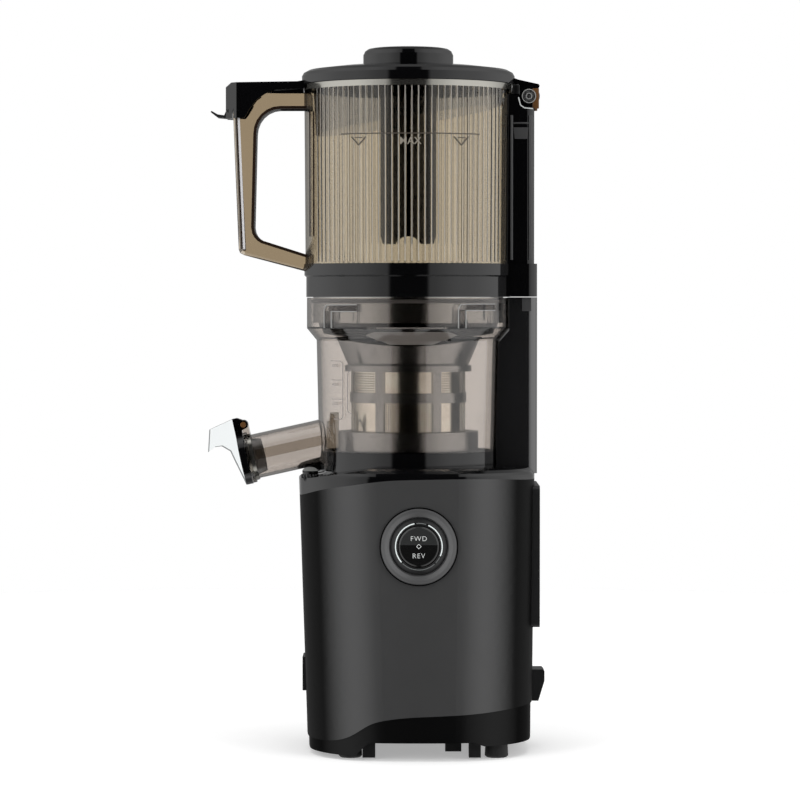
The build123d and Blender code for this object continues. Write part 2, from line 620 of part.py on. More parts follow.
    ring = ring_gear(teeth_wiper, module_drum, wiper_r, wiper_z, wiper_z + 6)
    ring_in = strainer_r + 0.8 + 0.35
    ring += turned([(ring_in, wiper_z + 6.3), (41.2, wiper_z + 5.9), (wiper_r, wiper_z + 5.9),
                    (wiper_r, wiper_z + wiper_h), (45.0, wiper_z + wiper_h),
                    (ring_in, wiper_z + 9)])
    put("wiper_ring", whole(ring))
    blades = []
    for turn in (176, 62):
        fin = box(wiper_r - 0.6, drum_foot_r - 4.6, -1.2, 1.2, wiper_z + 0.3, wiper_z + 25.8)
        fin -= box(drum_foot_r - 7.2, drum_r, -3, 3, wiper_z + 19.8, wiper_z + 30)
        fin -= cyl(wiper_r, 0, beyond)
        blades.append(around(fin, turn))
    put("wiper_blades", Compound(children=[whole(b) for b in blades]))
    flap = duct_box(duct_w / 2 - duct_wall, duct_end - 5.0, duct_end - 3.4, floor_z - 4.8,
                    floor_z - 1.6)
    put("pulp_flap", flap)


# ---------------------------------------------------------------- juice cap on the spout
def make_cap():
    face = spout_end + gap
    pin = (spout_end - 1.8, 23.3)
    disc = spout_rod(18.0, face, face + 4.5)
    arm = [(face, 8), (face + 4.5, 8), (face + 4.5, 28.6), (face + 1.5, 28.6), (pin[0], pin[1] + 3.1),
           (pin[0] - 3.1, pin[1]), (pin[0], pin[1] - 3.1), (face, 19.6)]
    disc += side_prism([along_spout(s, v)[::2] for s, v in arm], -4.6, 4.6)
    disc += rod(along_spout(*pin, -4.6), (0, 1, 0), 3.1, 9.2)
    disc += rod(along_spout(*pin, -8.6), (0, 1, 0), 1.7, 17.2)
    put("juice_cap", whole(disc))
    s0 = face - 11.5
    plug = revolve(make_face(Polyline((0, 0, s0), (11.2, 0, s0), (12.6, 0, s0 + 5.5),
                                      (12.9, 0, face), (0, 0, face), close=True)), Axis.Z)
    put("cap_plug", Plane(origin=(0, 0, spout_z), z_dir=spout_dir) * plug)
    outline = [(face + 4.5, 28.6), (spout_end + 21.6, 25.0), lever_tip, (spout_end + 20.8, 12.6),
               (spout_end + 15.8, 12.1), (spout_end + 10.7, 7.4), (spout_end + 9.2, 0.5),
               (face + 4.5, -17.5)]
    lever = side_prism([along_spout(s, v)[::2] for s, v in outline], -10, 10)
    put("cap_lever", lever)


# ---------------------------------------------------------------- hopper
def hopper_outer_r(z):
    t = (z - ledge_z) / (hopper_z_top - ledge_z)
    return hopper_r_low + (hopper_r_top - hopper_r_low) * t


def handle_outline(offset=0.0):
    """Handle loop in x, z, grown by offset."""
    o = offset
    root = -hopper_r_top + 2.7
    return [(root, handle_z_top + o), (handle_x + 14.3, handle_z_top + o),
            (handle_x + 6.8, handle_z_top - 2.6 + o), (handle_x + 1.9, handle_z_top - 7.6 + 0.7 * o),
            (handle_x - o, handle_z_top - 14.5), (handle_x_low - o, handle_z_low + 15.7),
            (handle_x_low + 1.0, handle_z_low + 13.1 - o),
            (handle_x_low + 3.8, handle_z_low + 11.6 - o), (root, handle_z_low - o)]


def grip_outline():
    """Finger opening of the handle: large arcs at the outer corners, near-square ones inside."""
    inside = -hopper_r_top + 11.7
    points = [(inside, grip_z_top), (grip_x0 + 16.3, grip_z_top)]
    points += [(grip_x0 + 16.3 - 16.3 * sin(radians(a)), grip_z_top - 17 + 17 * cos(radians(a)))
               for a in range(15, 91, 15)]
    points += [(grip_x_low, grip_z_left + 11.5)]
    points += [(grip_x_low + 10 - 10 * cos(radians(a)), grip_z_left + 11.5 - 10 * sin(radians(a)))
               for a in range(20, 80, 15)]
    return points + [(-hopper_r_top + 0.7, grip_z_right), (inside, grip_z_right - 2.5)]


def make_hopper():
    z_in = ledge_z - 4
    shell = turned([(hopper_r_low - hopper_wall, hopper_z_low), (hopper_r_low - 1.2, hopper_z_low),
                    (hopper_r_low - 1.2, ledge_z), (hopper_r_low, ledge_z),
                    (hopper_r_top, hopper_z_top), (hopper_r_top - hopper_wall, hopper_z_top),
                    (hopper_r_low - hopper_wall, z_in)])
    loop = side_prism(handle_outline(), -handle_hw, handle_hw)
    loop = fillet(loop.edges().filter_by(lambda e: abs(e.center().Y) > handle_hw - 0.1
                                         and e.center().X < -hopper_r_top + 1.7), 2.0)
    hole = side_prism(grip_outline(), -30, 30)
    loop = loop - hole
    loop -= turned([(0, ring_z_low), (hopper_r_low - 1.2, ring_z_low), (hopper_r_low - 1.2, ledge_z),
                    (hopper_r_low - 0.6, ledge_z), (hopper_r_top - 0.6, hopper_z_top),
                    (0, hopper_z_top)])
    loop -= box(-hopper_r_top - 0.9, 0, -20, 20, ring_z_low, ledge_z)
    shell += loop
    put("hopper_shell", whole(shell))

    base = turned([
        (hopper_r_top, ledge_z), (hopper_r_top, ledge_z - 8.0), (hopper_r_top - 1.3, ledge_z - 9.0),
        (hopper_r_top - 1.3, ring_z_low), (drum_r - 4.6, ring_z_low),
        (drum_r - 4.6, ring_z_low - 4.7), (drum_r - 6.8, ring_z_low - 8.7),
        (drum_r - 8.5, ring_z_low - 20.2), (drum_r - 11.5, ring_z_low - 22.1),
        (throat_r, ring_z_low - 31.7), (throat_r, ring_z_low - 28.5),
        (drum_r - 12.5, ring_z_low - 18.9), (drum_r - 10.6, ring_z_low - 11.7),
        (drum_r - 8.0, ring_z_low + 4.3),
        (hopper_r_low - hopper_wall, hopper_z_low), (hopper_r_low - 1.2, hopper_z_low),
        (hopper_r_low - 1.2, ledge_z)])
    put("hopper_base", base)
    skirt_r = drum_r - 4.4
    skirt = tube(skirt_r, skirt_r - 2.0, ring_z_low - 17.7, ring_z_low)
    skirt -= turned([(0, ring_z_low - 21.7), (drum_r - 8.1, ring_z_low - 20.2),
                     (drum_r - 6.4, ring_z_low - 8.7), (drum_r - 4.6, ring_z_low - 4.7),
                     (drum_r - 4.6, ring_z_low + 20), (0, ring_z_low + 20)])
    seal = turned([(skirt_r, ring_z_low - 4.3), (skirt_r + 1.6, ring_z_low - 3.8),
                   (skirt_r + 1.6, ring_z_low - 2.1), (skirt_r, ring_z_low - 1.5)])
    lug_z = ring_z_low - 12.7
    for turn in (-100, -10, 80, 170):
        sector = around(box(20, 90, -7, 7, lug_z, lug_z + 3.5), turn)
        skirt += tube(skirt_r + 1.5, skirt_r - 0.6, lug_z, lug_z + 3.5) & sector
    put("lock_skirt", whole(skirt))
    put("hopper_seal", seal)

    # spine carrying the hinge
    shell_room = turned([(0, ring_z_low - 10), (hopper_r_top - 1.3, ring_z_low - 10),
                         (hopper_r_top - 1.3, ledge_z - 9),
                         (hopper_r_top, ledge_z - 8), (hopper_r_top, ledge_z),
                         (hopper_r_low, ledge_z), (hopper_r_top, hopper_z_top), (0, hopper_z_top)])
    ear_z = hinge_z - 10.8
    spine = box(guard_r - 6, spine_x, -spine_hw, spine_hw, ledge_z - 2, hinge_z + 1.2)
    spine = fillet(spine.edges().filter_by(Axis.Z).group_by(Axis.X)[-1], 6.0)
    foot = box(guard_r - 6, spine_x + 2, -spine_hw - 1.5, spine_hw + 1.5, ring_z_low + 0.2, ledge_z)
    spine += fillet(foot.edges().filter_by(Axis.Z).group_by(Axis.X)[-1], 7.0)
    spine -= shell_room
    spine -= box(guard_r - 6, spine_x + 9, -14, 14, ear_z, hinge_z + 10.7)
    spine -= side_prism([(hinge_x - 6.7, hinge_z + 10.7), (hinge_x - 6.7, hinge_z + 1.3),
                         (hinge_x - 5.2, hinge_z - 7.5), (hinge_x + 7.3, hinge_z - 8.3),
                         (hinge_x + 7.3, hinge_z + 10.7)], -30, 30)
    put("hopper_spine", whole(spine))
    ear = cross_rod(hinge_x, hinge_z, 7.4, 14.0)
    ear += side_prism([(hinge_x - 9.0, ear_z), (hinge_x + 3.6, ear_z), (hinge_x + 7.3, hinge_z - 1),
                       (hinge_x - 7.3, hinge_z + 1)], -14, 14)
    ear -= box(hinge_x - 20, hinge_x + 20, -8.6, 8.6, ear_z + 1.6, hinge_z + 20)
    ear -= cross_rod(hinge_x, hinge_z, 8.9, 8.6)
    ear -= cross_rod(hinge_x, hinge_z, 2.5, 30)
    put("hinge_bracket", whole(ear))
    put("hinge_pin", cross_rod(hinge_x, hinge_z, 2.5, 15.5) + cross_rod(hinge_x, hinge_z, 4.0, 0.75, 14.75)
        + cross_rod(hinge_x, hinge_z, 4.0, 0.75, -14.75))


# ---------------------------------------------------------------- lid, latch, pusher
def make_lid():
    z0 = hopper_z_top + gap
    lid = turned([
        (pusher_r + 0.6, z0 + 6.5), (guard_r - 2.5, z0 + 6.5), (guard_r - 2.5, z0 - 3.5),
        (guard_r + 0.6, z0 - 3.5), (guard_r + 0.6, z0), (lid_r, z0), (lid_r, lid_z_top - 6.5),
        (lid_r - 1.2, lid_z_top - 4.4), (lid_r - 4.5, lid_z_top - 2.6), (lid_r - 22, lid_z_top - 0.4),
        (pusher_r + 0.6, lid_z_top)])
    for turn in range(30, 360, 60):
        lid += around(box(pusher_r + 2, guard_r - 1.5, -1.0, 1.0, z0 + 3.0, z0 + 7), turn)
    nose = side_prism([
        (-guard_r, z0), (-guard_r, nose_z + 2.3), (-lid_r - 2.7, nose_z + 0.7),
        (handle_x - 1.2, nose_z), (handle_x - 5.1, nose_z - 3.1), (handle_x - 5.1, nose_z - 23.9),
        (handle_x - 4.6, nose_z - 24.4), (handle_x + 7.9, nose_z - 24.4),
        (handle_x + 11.4, nose_z - 18.6), (handle_x + 16.1, nose_z - 12.1),
        (handle_x + 22.0, nose_z - 8.0), (handle_x + 29.1, nose_z - 5.0),
        (-lid_r - 0.3, nose_z - 4.1), (-guard_r, nose_z - 4.1)], -nose_hw, nose_hw)
    corner = nose_hw - nose_bevel
    for side in (1, -1):
        nose -= extrude(Plane.XY * make_face(Polyline(
            (handle_x - 6, side * (corner - 0.9)), (handle_x - 5.1 + nose_bevel + 0.9, side * (nose_hw + 0.9)),
            (handle_x - 6, side * (nose_hw + 0.9)), close=True)), amount=beyond)
    nose -= side_prism(handle_outline(0.7), -handle_hw - 0.6, handle_hw + 0.6)
    nose -= cyl(hopper_r_top + 0.8, ring_z_low, z0)
    pocket = box(handle_x - 6.7, handle_x + 5.3, -8.0, 8.0, nose_z - 38.7, nose_z - 13.2)
    nose -= pocket - box(handle_x - 1.1, 0, -9, 9, ring_z_low, nose_z)
    lid += nose
    arm = side_prism([(lid_r - 5.3, z0 + 0.2), (lid_r - 5.3, z0 + 6), (lid_r + 2.7, z0 + 3.2),
                      (hinge_x + 6.9, z0 + 0.2), (hinge_x + 7.6, z0 - 1.0),
                      (hinge_x + 5, hinge_z + 1), (hinge_x, hinge_z - 5),
                      (hinge_x - 4.4, hinge_z - 3), (hinge_x - 6, hinge_z + 4), (lid_r + 2.7, z0)],
                     -8.0, 8.0)
    arm += cross_rod(hinge_x, hinge_z, 5.6, 8.0)
    arm -= cyl(hopper_r_top + 0.8, ring_z_low, z0)
    lid += arm
    lid -= cross_rod(hinge_x, hinge_z, 2.5 + fit, 30)
    lid -= cross_rod(latch_x, latch_z, 1.2 + fit, 11)
    put("lid", whole(lid))

    guard = turned([(guard_r - 4.6, z0 - 42.8), (guard_r - 2.9, z0 - 42.8), (guard_r - 0.7, z0 - 3.5),
                    (guard_r - 2.5, z0 - 3.5)])
    guard -= side_prism([(-80, z0 - 57.8), (-80, z0 - 37.3), (80, z0 - 11.3), (80, z0 - 57.8)], -80, 80)
    put("lid_guard", whole(guard))

    lever = cross_rod(latch_x, latch_z, 1.2, 7.6)
    lever += side_prism([(latch_x + x, latch_z + z) for x, z in (
        (-12.8, -0.5), (-12.0, 0.2), (-7.8, -2.2), (-3.4, -2.8), (-1.8, 1.0), (0, 3.6),
        (1.2, 2.8), (1.7, -4.6), (0.8, -5.0), (-7.9, -4.2))], -7.6, 7.6)
    lever += cross_rod(latch_x, latch_z, 1.2, 10.5)
    put("latch_lever", whole(lever))

    shaft = cyl(pusher_r, pusher_z_low, lid_z_top + 1)
    shaft -= cyl(pusher_r - 2.4, pusher_z_low - 1, lid_z_top - 4)
    shaft -= cross_rod(0, pusher_z_low - 4.0, 9.5, 40)
    shaft -= rod((-40, 0, pusher_z_low - 4.0), (1, 0, 0), 9.5, 80)
    shaft += tube(12.5, 10.5, pusher_z_low + 7, lid_z_top - 3)
    for turn in (0, 90):
        shaft += around(box(-pusher_r + 1, pusher_r - 1, -1.1, 1.1, pusher_z_low + 8, lid_z_top - 3), turn)
    put("pusher_shaft", whole(shaft))
    knob = turned([(0, lid_z_top + gap), (knob_r - 0.8, lid_z_top + gap), (knob_r, lid_z_top + 1.2),
                   (knob_r, knob_z_top - 4.6), (knob_r - 1.2, knob_z_top - 2.0),
                   (knob_r - 3.4, knob_z_top - 0.5), (knob_r - 6, knob_z_top), (0, knob_z_top)])
    knob -= cyl(pusher_r, 0, lid_z_top + 1)
    put("pusher_knob", knob)


make_base()
make_switch()
make_drive()
make_drum()
make_cap()
make_hopper()
make_lid()
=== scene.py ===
from math import asin, cos, degrees, pi, radians, sin, sqrt

import bmesh
import bpy
from mathutils import Matrix, Vector


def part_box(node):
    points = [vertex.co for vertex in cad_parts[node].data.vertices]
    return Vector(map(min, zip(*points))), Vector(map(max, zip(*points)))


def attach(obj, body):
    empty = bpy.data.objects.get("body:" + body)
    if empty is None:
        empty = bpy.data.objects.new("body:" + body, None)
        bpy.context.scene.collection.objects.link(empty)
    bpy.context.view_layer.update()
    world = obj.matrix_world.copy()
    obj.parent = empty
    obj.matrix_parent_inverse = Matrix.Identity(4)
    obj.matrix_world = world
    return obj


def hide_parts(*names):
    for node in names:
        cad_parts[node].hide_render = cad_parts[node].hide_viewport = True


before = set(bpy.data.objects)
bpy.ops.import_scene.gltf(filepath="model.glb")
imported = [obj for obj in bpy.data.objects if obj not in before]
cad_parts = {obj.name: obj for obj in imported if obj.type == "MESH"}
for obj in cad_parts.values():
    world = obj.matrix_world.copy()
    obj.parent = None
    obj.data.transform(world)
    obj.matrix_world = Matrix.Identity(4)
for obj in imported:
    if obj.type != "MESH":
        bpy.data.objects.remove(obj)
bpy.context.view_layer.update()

MM = 0.001


# ---------------------------------------------------------------- places taken from the frame
def middle(node):
    lo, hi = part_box(node)
    return (lo + hi) / 2


axis_point = middle("pusher_knob")
FROM_AXIS = Matrix.Translation((axis_point.x, axis_point.y, 0)) @ Matrix.Scale(MM, 4)
TO_AXIS = FROM_AXIS.inverted()


def span(node):
    """Lowest and highest corner of a CAD node, in millimetres about the drive axis."""
    lo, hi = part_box(node)
    return TO_AXIS @ lo, TO_AXIS @ hi


jug_low, jug_high = span("hopper_shell")
jug_top = jug_high.z
jug_foot = jug_low.z
jug_r_top = jug_high.x
jug_ledge = span("hopper_base")[1].z
jug_r_low = jug_r_top - 0.8                  # it tapers a little
jug_wall_t = 3.0
drum_top = span("drum_bowl")[1].z
drum_r = span("drum_bowl")[1].x
drum_r_low = drum_r - 6.7                    # below the wide band
drum_band = drum_top - 21.1                  # foot of the wide band
hinge_at = TO_AXIS @ middle("hinge_pin")
spine_high = span("hopper_spine")[1]
spine_foot_over = 1.5                        # its foot is wider on each side
spine_hw = (spine_high.y - span("hopper_spine")[0].y) / 2 - spine_foot_over
rocker_dish = 0.5                            # its rim stands proud of its middle
switch_face = span("switch_rocker")[0].y + rocker_dish
switch_mid = TO_AXIS @ middle("switch_rocker")
bezel_face = span("switch_bezel")[0].y


# ---------------------------------------------------------------- small node helpers
def link(tree, out, into):
    tree.links.new(out, into)


def feed(tree, socket, value):
    if isinstance(value, (int, float)):
        socket.default_value = value
    else:
        link(tree, value, socket)


def math_node(tree, operation, a, b=None, clamp=False):
    node = tree.nodes.new("ShaderNodeMath")
    node.operation = operation
    node.use_clamp = clamp
    feed(tree, node.inputs[0], a)
    if b is not None:
        feed(tree, node.inputs[1], b)
    return node.outputs[0]


def ramp_between(tree, value, low, high, at_low=0.0, at_high=1.0):
    """Smooth step of value from at_low to at_high."""
    node = tree.nodes.new("ShaderNodeMapRange")
    node.interpolation_type = "SMOOTHSTEP"
    link(tree, value, node.inputs["Value"])
    node.inputs["From Min"].default_value = low
    node.inputs["From Max"].default_value = high
    node.inputs["To Min"].default_value = at_low
    node.inputs["To Max"].default_value = at_high
    return node.outputs["Result"]


def mix_color(tree, factor, first, second):
    node = tree.nodes.new("ShaderNodeMix")
    node.data_type = "RGBA"
    feed(tree, node.inputs["Factor"], factor)
    for socket, value in ((node.inputs["A"], first), (node.inputs["B"], second)):
        if isinstance(value, tuple):
            socket.default_value = (*value, 1)
        else:
            link(tree, value, socket)
    return node.outputs["Result"]


# ---------------------------------------------------------------- camera, light and floor
camera_x = -5.7                # millimetres about the drive axis, as every place but the lamps'
camera_away = 2350.0
eye_height = 309.5
aim_height = 240.5
lens = 153
sensor = 36

# turns from straight in front, in degrees, of the two light panels that shiny surfaces mirror
left_panel_edge = (-24, -19)
right_panel_edge = (20, 25)
near_fade = (20, 62, 0.72, 1.3)      # from, to, and the strength at each
far_fade = (88, 160, 1.0, 0.22)
room_light = 0.55

floor_radius = 1.3             # metres
floor_glow = 0.36


def make_camera():
    data = bpy.data.cameras.new("camera")
    data.sensor_width = sensor
    data.lens = lens
    cam = bpy.data.objects.new("camera", data)
    bpy.context.scene.collection.objects.link(cam)
    eye = FROM_AXIS @ Vector((camera_x, -camera_away, eye_height))
    aim = FROM_AXIS @ Vector((camera_x, 0, aim_height))
    cam.location = eye
    cam.rotation_mode = "QUATERNION"
    cam.rotation_quaternion = (aim - eye).to_track_quat("-Z", "Y")
    bpy.context.scene.camera = cam


def make_world():
    """White backdrop, two soft panels for glossy surfaces with a dark gap between them, grey room."""
    world = bpy.data.worlds.new("studio")
    bpy.context.scene.world = world
    world.use_nodes = True
    tree = world.node_tree
    tree.nodes.clear()
    out = tree.nodes.new("ShaderNodeOutputWorld")
    background = tree.nodes.new("ShaderNodeBackground")
    path = tree.nodes.new("ShaderNodeLightPath")
    place = tree.nodes.new("ShaderNodeTexCoord")
    split = tree.nodes.new("ShaderNodeSeparateXYZ")
    link(tree, place.outputs["Generated"], split.inputs[0])
    # turn of the direction from straight in front: 0 in front, +-pi behind, plus to the right
    front = math_node(tree, "MULTIPLY", split.outputs[1], -1.0)
    turn = math_node(tree, "ARCTAN2", split.outputs[0], front)

    def fade(value, start, end, at_start=0.0, at_end=1.0):
        return ramp_between(tree, value, radians(start), radians(end), at_start, at_end)

    panels = math_node(tree, "ADD", fade(turn, *left_panel_edge, 1.0, 0.0), fade(turn, *right_panel_edge))
    away = math_node(tree, "ABSOLUTE", turn)
    near = fade(away, *near_fade)
    far = fade(away, *far_fade)
    mirror = math_node(tree, "MULTIPLY", panels, math_node(tree, "MULTIPLY", near, far))
    # what a ray sees depends on its last bounces: the white paper, the panels, or the grey room
    bounced = math_node(tree, "GREATER_THAN", path.outputs["Diffuse Depth"], 0.5)
    straight = math_node(tree, "SUBTRACT", 1.0, path.outputs["Is Transmission Ray"])
    shiny = math_node(tree, "MAXIMUM", math_node(tree, "MULTIPLY", path.outputs["Is Glossy Ray"], straight),
                      math_node(tree, "GREATER_THAN", path.outputs["Glossy Depth"], 0.5))
    clear = math_node(tree, "MAXIMUM", path.outputs["Is Camera Ray"],
                      path.outputs["Is Transmission Ray"])
    paper = math_node(tree, "MULTIPLY", clear, math_node(tree, "SUBTRACT", 1.0, shiny))
    strength = math_node(tree, "ADD", paper, math_node(tree, "MULTIPLY", mirror, shiny))
    seen = math_node(tree, "MULTIPLY", strength, math_node(tree, "SUBTRACT", 1.0, bounced))
    room = math_node(tree, "MULTIPLY", bounced, room_light)
    background.inputs["Color"].default_value = (1, 1, 1, 1)
    link(tree, math_node(tree, "ADD", seen, room), background.inputs["Strength"])
    link(tree, background.outputs[0], out.inputs["Surface"])


def lamp(name, power, size, place, aim):
    """Soft area lamp, placed in metres, that doesn't show in mirrors or through clear walls."""
    data = bpy.data.lights.new(name, "AREA")
    data.shape = "RECTANGLE"
    data.size, data.size_y = size
    data.energy = power
    lamp_object = bpy.data.objects.new(name, data)
    bpy.context.scene.collection.objects.link(lamp_object)
    lamp_object.location = place
    lamp_object.rotation_mode = "QUATERNION"
    lamp_object.rotation_quaternion = (Vector(aim) - Vector(place)).to_track_quat("-Z", "Y")
    lamp_object.visible_glossy = False
    lamp_object.visible_transmission = False
    lamp_object.visible_camera = False


def make_lamps():
    lamp("left_softbox", 14, (0.8, 1.4), (-1.5, -1.7, 0.9), (0, 0, 0.25))
    lamp("right_softbox", 12, (0.8, 1.4), (1.6, -1.5, 0.8), (0, 0, 0.25))
    lamp("top_softbox", 16, (1.4, 1.4), (0, -0.2, 2.0), (0, 0, 0.2))


def make_floor():
    """Plain pale floor, lifted towards white where the camera sees it."""
    bm = bmesh.new()
    bmesh.ops.create_circle(bm, cap_ends=True, segments=96, radius=floor_radius)
    mesh = bpy.data.meshes.new("floor")
    bm.to_mesh(mesh)
    bm.free()
    floor = bpy.data.objects.new("floor", mesh)
    bpy.context.scene.collection.objects.link(floor)
    mat = bpy.data.materials.new("floor_white")
    mat.use_nodes = True
    tree = mat.node_tree
    tree.nodes.clear()
    out = tree.nodes.new("ShaderNodeOutputMaterial")
    paper = tree.nodes.new("ShaderNodeBsdfDiffuse")
    paper.inputs["Color"].default_value = (0.82, 0.82, 0.82, 1)
    glow = tree.nodes.new("ShaderNodeEmission")
    path = tree.nodes.new("ShaderNodeLightPath")
    both = tree.nodes.new("ShaderNodeAddShader")
    seen = math_node(tree, "MAXIMUM", path.outputs["Is Camera Ray"], path.outputs["Is Transmission Ray"])
    link(tree, math_node(tree, "MULTIPLY", seen, floor_glow), glow.inputs["Strength"])
    link(tree, paper.outputs[0], both.inputs[0])
    link(tree, glow.outputs[0], both.inputs[1])
    # reflections pass through the floor, so that the shiny pieces mirror the panels alone
    through = tree.nodes.new("ShaderNodeBsdfTransparent")
    pick = tree.nodes.new("ShaderNodeMixShader")
    mirrored = math_node(tree, "GREATER_THAN", path.outputs["Glossy Depth"], 0.5)
    direct = math_node(tree, "LESS_THAN", path.outputs["Diffuse Depth"], 0.5)
    link(tree, math_node(tree, "MULTIPLY", mirrored, direct), pick.inputs[0])
    link(tree, both.outputs[0], pick.inputs[1])
    link(tree, through.outputs[0], pick.inputs[2])
    link(tree, pick.outputs[0], out.inputs["Surface"])
    mesh.materials.append(mat)


# ---------------------------------------------------------------- node groups
def group_tree(name, inputs, outputs):
    tree = bpy.data.node_groups.new(name, "ShaderNodeTree")
    for label, kind, value in inputs:
        socket = tree.interface.new_socket(label, in_out="INPUT", socket_type="NodeSocket" + kind)
        if value is not None:
            socket.default_value = value
    for label, kind in outputs:
        tree.interface.new_socket(label, in_out="OUTPUT", socket_type="NodeSocket" + kind)
    return tree, tree.nodes.new("NodeGroupInput"), tree.nodes.new("NodeGroupOutput")


def noise(tree, where, scale, detail=2.0, roughness=0.5):
    node = tree.nodes.new("ShaderNodeTexNoise")
    node.inputs["Detail"].default_value = detail
    node.inputs["Roughness"].default_value = roughness
    feed(tree, node.inputs["Scale"], scale)
    link(tree, where, node.inputs["Vector"])
    return node.outputs[0]


def swing(tree, value, amount):
    """A value from 0 to 1 turned into a swing about 0, of a given size."""
    return math_node(tree, "MULTIPLY", math_node(tree, "SUBTRACT", value, 0.5), amount)


def brightened(tree, color, value):
    node = tree.nodes.new("ShaderNodeHueSaturation")
    link(tree, color, node.inputs["Color"])
    link(tree, value, node.inputs["Value"])
    return node.outputs[0]


def stretched(tree, place, along_z):
    """The place with its z scaled, so that a noise is drawn out or packed along the height."""
    node = tree.nodes.new("ShaderNodeMapping")
    node.inputs["Scale"].default_value = (1.0, 1.0, along_z)
    link(tree, place, node.inputs["Vector"])
    return node.outputs[0]


# scales of the patterns, per metre of the surface
cloud_scale = 45.0
gloss_scale = 160.0
metal_cloud_scale = 60.0
streak_scale = 50.0
haze_scale = 120.0
scratch_pack = 14.0            # scratches lie close above each other
streak_draw = 0.25             # streaks run down
scratch_gloss = 0.16


def make_moulded_group():
    """Moulded plastic: faint flow mottling of the colour, spark-eroded grain, uneven gloss."""
    tree, inp, out = group_tree("moulded_surface", [
        ("Place", "Vector", None), ("Color", "Color", (0.5, 0.5, 0.5, 1)),
        ("Mottle", "Float", 0.1), ("Roughness", "Float", 0.4), ("Unevenness", "Float", 0.1),
        ("Grain Scale", "Float", 3000.0)],
        [("Color", "Color"), ("Roughness", "Float"), ("Height", "Float")])
    place = inp.outputs["Place"]
    cloud = swing(tree, noise(tree, place, cloud_scale, 3.0), inp.outputs["Mottle"])
    bright = math_node(tree, "ADD", cloud, 1.0)
    link(tree, brightened(tree, inp.outputs["Color"], bright), out.inputs["Color"])
    smear = swing(tree, noise(tree, place, gloss_scale, 4.0, 0.6), inp.outputs["Unevenness"])
    rough = math_node(tree, "ADD", inp.outputs["Roughness"], smear, clamp=True)
    link(tree, rough, out.inputs["Roughness"])
    grain = noise(tree, place, inp.outputs["Grain Scale"], 2.0, 0.6)
    link(tree, grain, out.inputs["Height"])
    return tree


def make_brushed_group():
    """Metal: fine scratches round the part, and a colour that varies a little."""
    tree, inp, out = group_tree("worked_metal", [
        ("Place", "Vector", None), ("Color", "Color", (0.6, 0.6, 0.6, 1)),
        ("Roughness", "Float", 0.3), ("Scratch Scale", "Float", 900.0)],
        [("Color", "Color"), ("Roughness", "Float"), ("Height", "Float")])
    place = inp.outputs["Place"]
    lines = noise(tree, stretched(tree, place, scratch_pack), inp.outputs["Scratch Scale"], 3.0, 0.7)
    shade = ramp_between(tree, noise(tree, place, metal_cloud_scale, 2.0), 0.3, 0.7, 0.9, 1.06)
    link(tree, brightened(tree, inp.outputs["Color"], shade), out.inputs["Color"])
    uneven = swing(tree, lines, scratch_gloss)
    rough = math_node(tree, "ADD", inp.outputs["Roughness"], uneven, clamp=True)
    link(tree, rough, out.inputs["Roughness"])
    link(tree, lines, out.inputs["Height"])
    return tree


def make_clear_group():
    """Clear moulding: smoky streaks in the tint, a deeper tint at the edges and a touch of haze."""
    tree, inp, out = group_tree("clear_moulding", [
        ("Place", "Vector", None), ("Tint", "Color", (0.6, 0.6, 0.6, 1)),
        ("Edge Tint", "Color", (0.3, 0.3, 0.3, 1)), ("Edge", "Float", 0.0),
        ("Streak", "Float", 0.06), ("Haze", "Float", 0.002)],
        [("Color", "Color"), ("Roughness", "Float")])
    place = inp.outputs["Place"]
    flow = noise(tree, stretched(tree, place, streak_draw), streak_scale, 2.0)
    streak = swing(tree, flow, inp.outputs["Streak"])
    tint = mix_color(tree, inp.outputs["Edge"], inp.outputs["Tint"], inp.outputs["Edge Tint"])
    link(tree, brightened(tree, tint, math_node(tree, "ADD", streak, 1.0)), out.inputs["Color"])
    smear = noise(tree, place, haze_scale, 3.0, 0.6)
    link(tree, math_node(tree, "MULTIPLY", smear, inp.outputs["Haze"]), out.inputs["Roughness"])
    return tree


MOULDED = make_moulded_group()
BRUSHED = make_brushed_group()
CLEAR = make_clear_group()

grain_depth = 0.12 * MM
scratch_depth = 0.05 * MM
# painted shade: colour and sheen of surfaces turned far away from the view
edge_shade_black = (0.002, 0.002, 0.002)
full_sheen, edge_shade_sheen = 0.5, 0.02
blend_half = 0.15              # half the height over which the two colours change
edge_full = 0.97               # how far turned away a clear wall is where its edge tint is full


# ---------------------------------------------------------------- materials
def start_material(name, group):
    mat = bpy.data.materials.new(name)
    mat.use_nodes = True
    tree = mat.node_tree
    bsdf = tree.nodes["Principled BSDF"]
    place = tree.nodes.new("ShaderNodeTexCoord")
    effect = tree.nodes.new("ShaderNodeGroup")
    effect.node_tree = group
    link(tree, place.outputs["Object"], effect.inputs["Place"])
    link(tree, effect.outputs["Color"], bsdf.inputs["Base Color"])
    link(tree, effect.outputs["Roughness"], bsdf.inputs["Roughness"])
    return mat, tree, bsdf, effect


def bump_from(tree, bsdf, height, strength, depth):
    bump = tree.nodes.new("ShaderNodeBump")
    bump.inputs["Strength"].default_value = strength
    bump.inputs["Distance"].default_value = depth
    link(tree, height, bump.inputs["Height"])
    link(tree, bump.outputs[0], bsdf.inputs["Normal"])


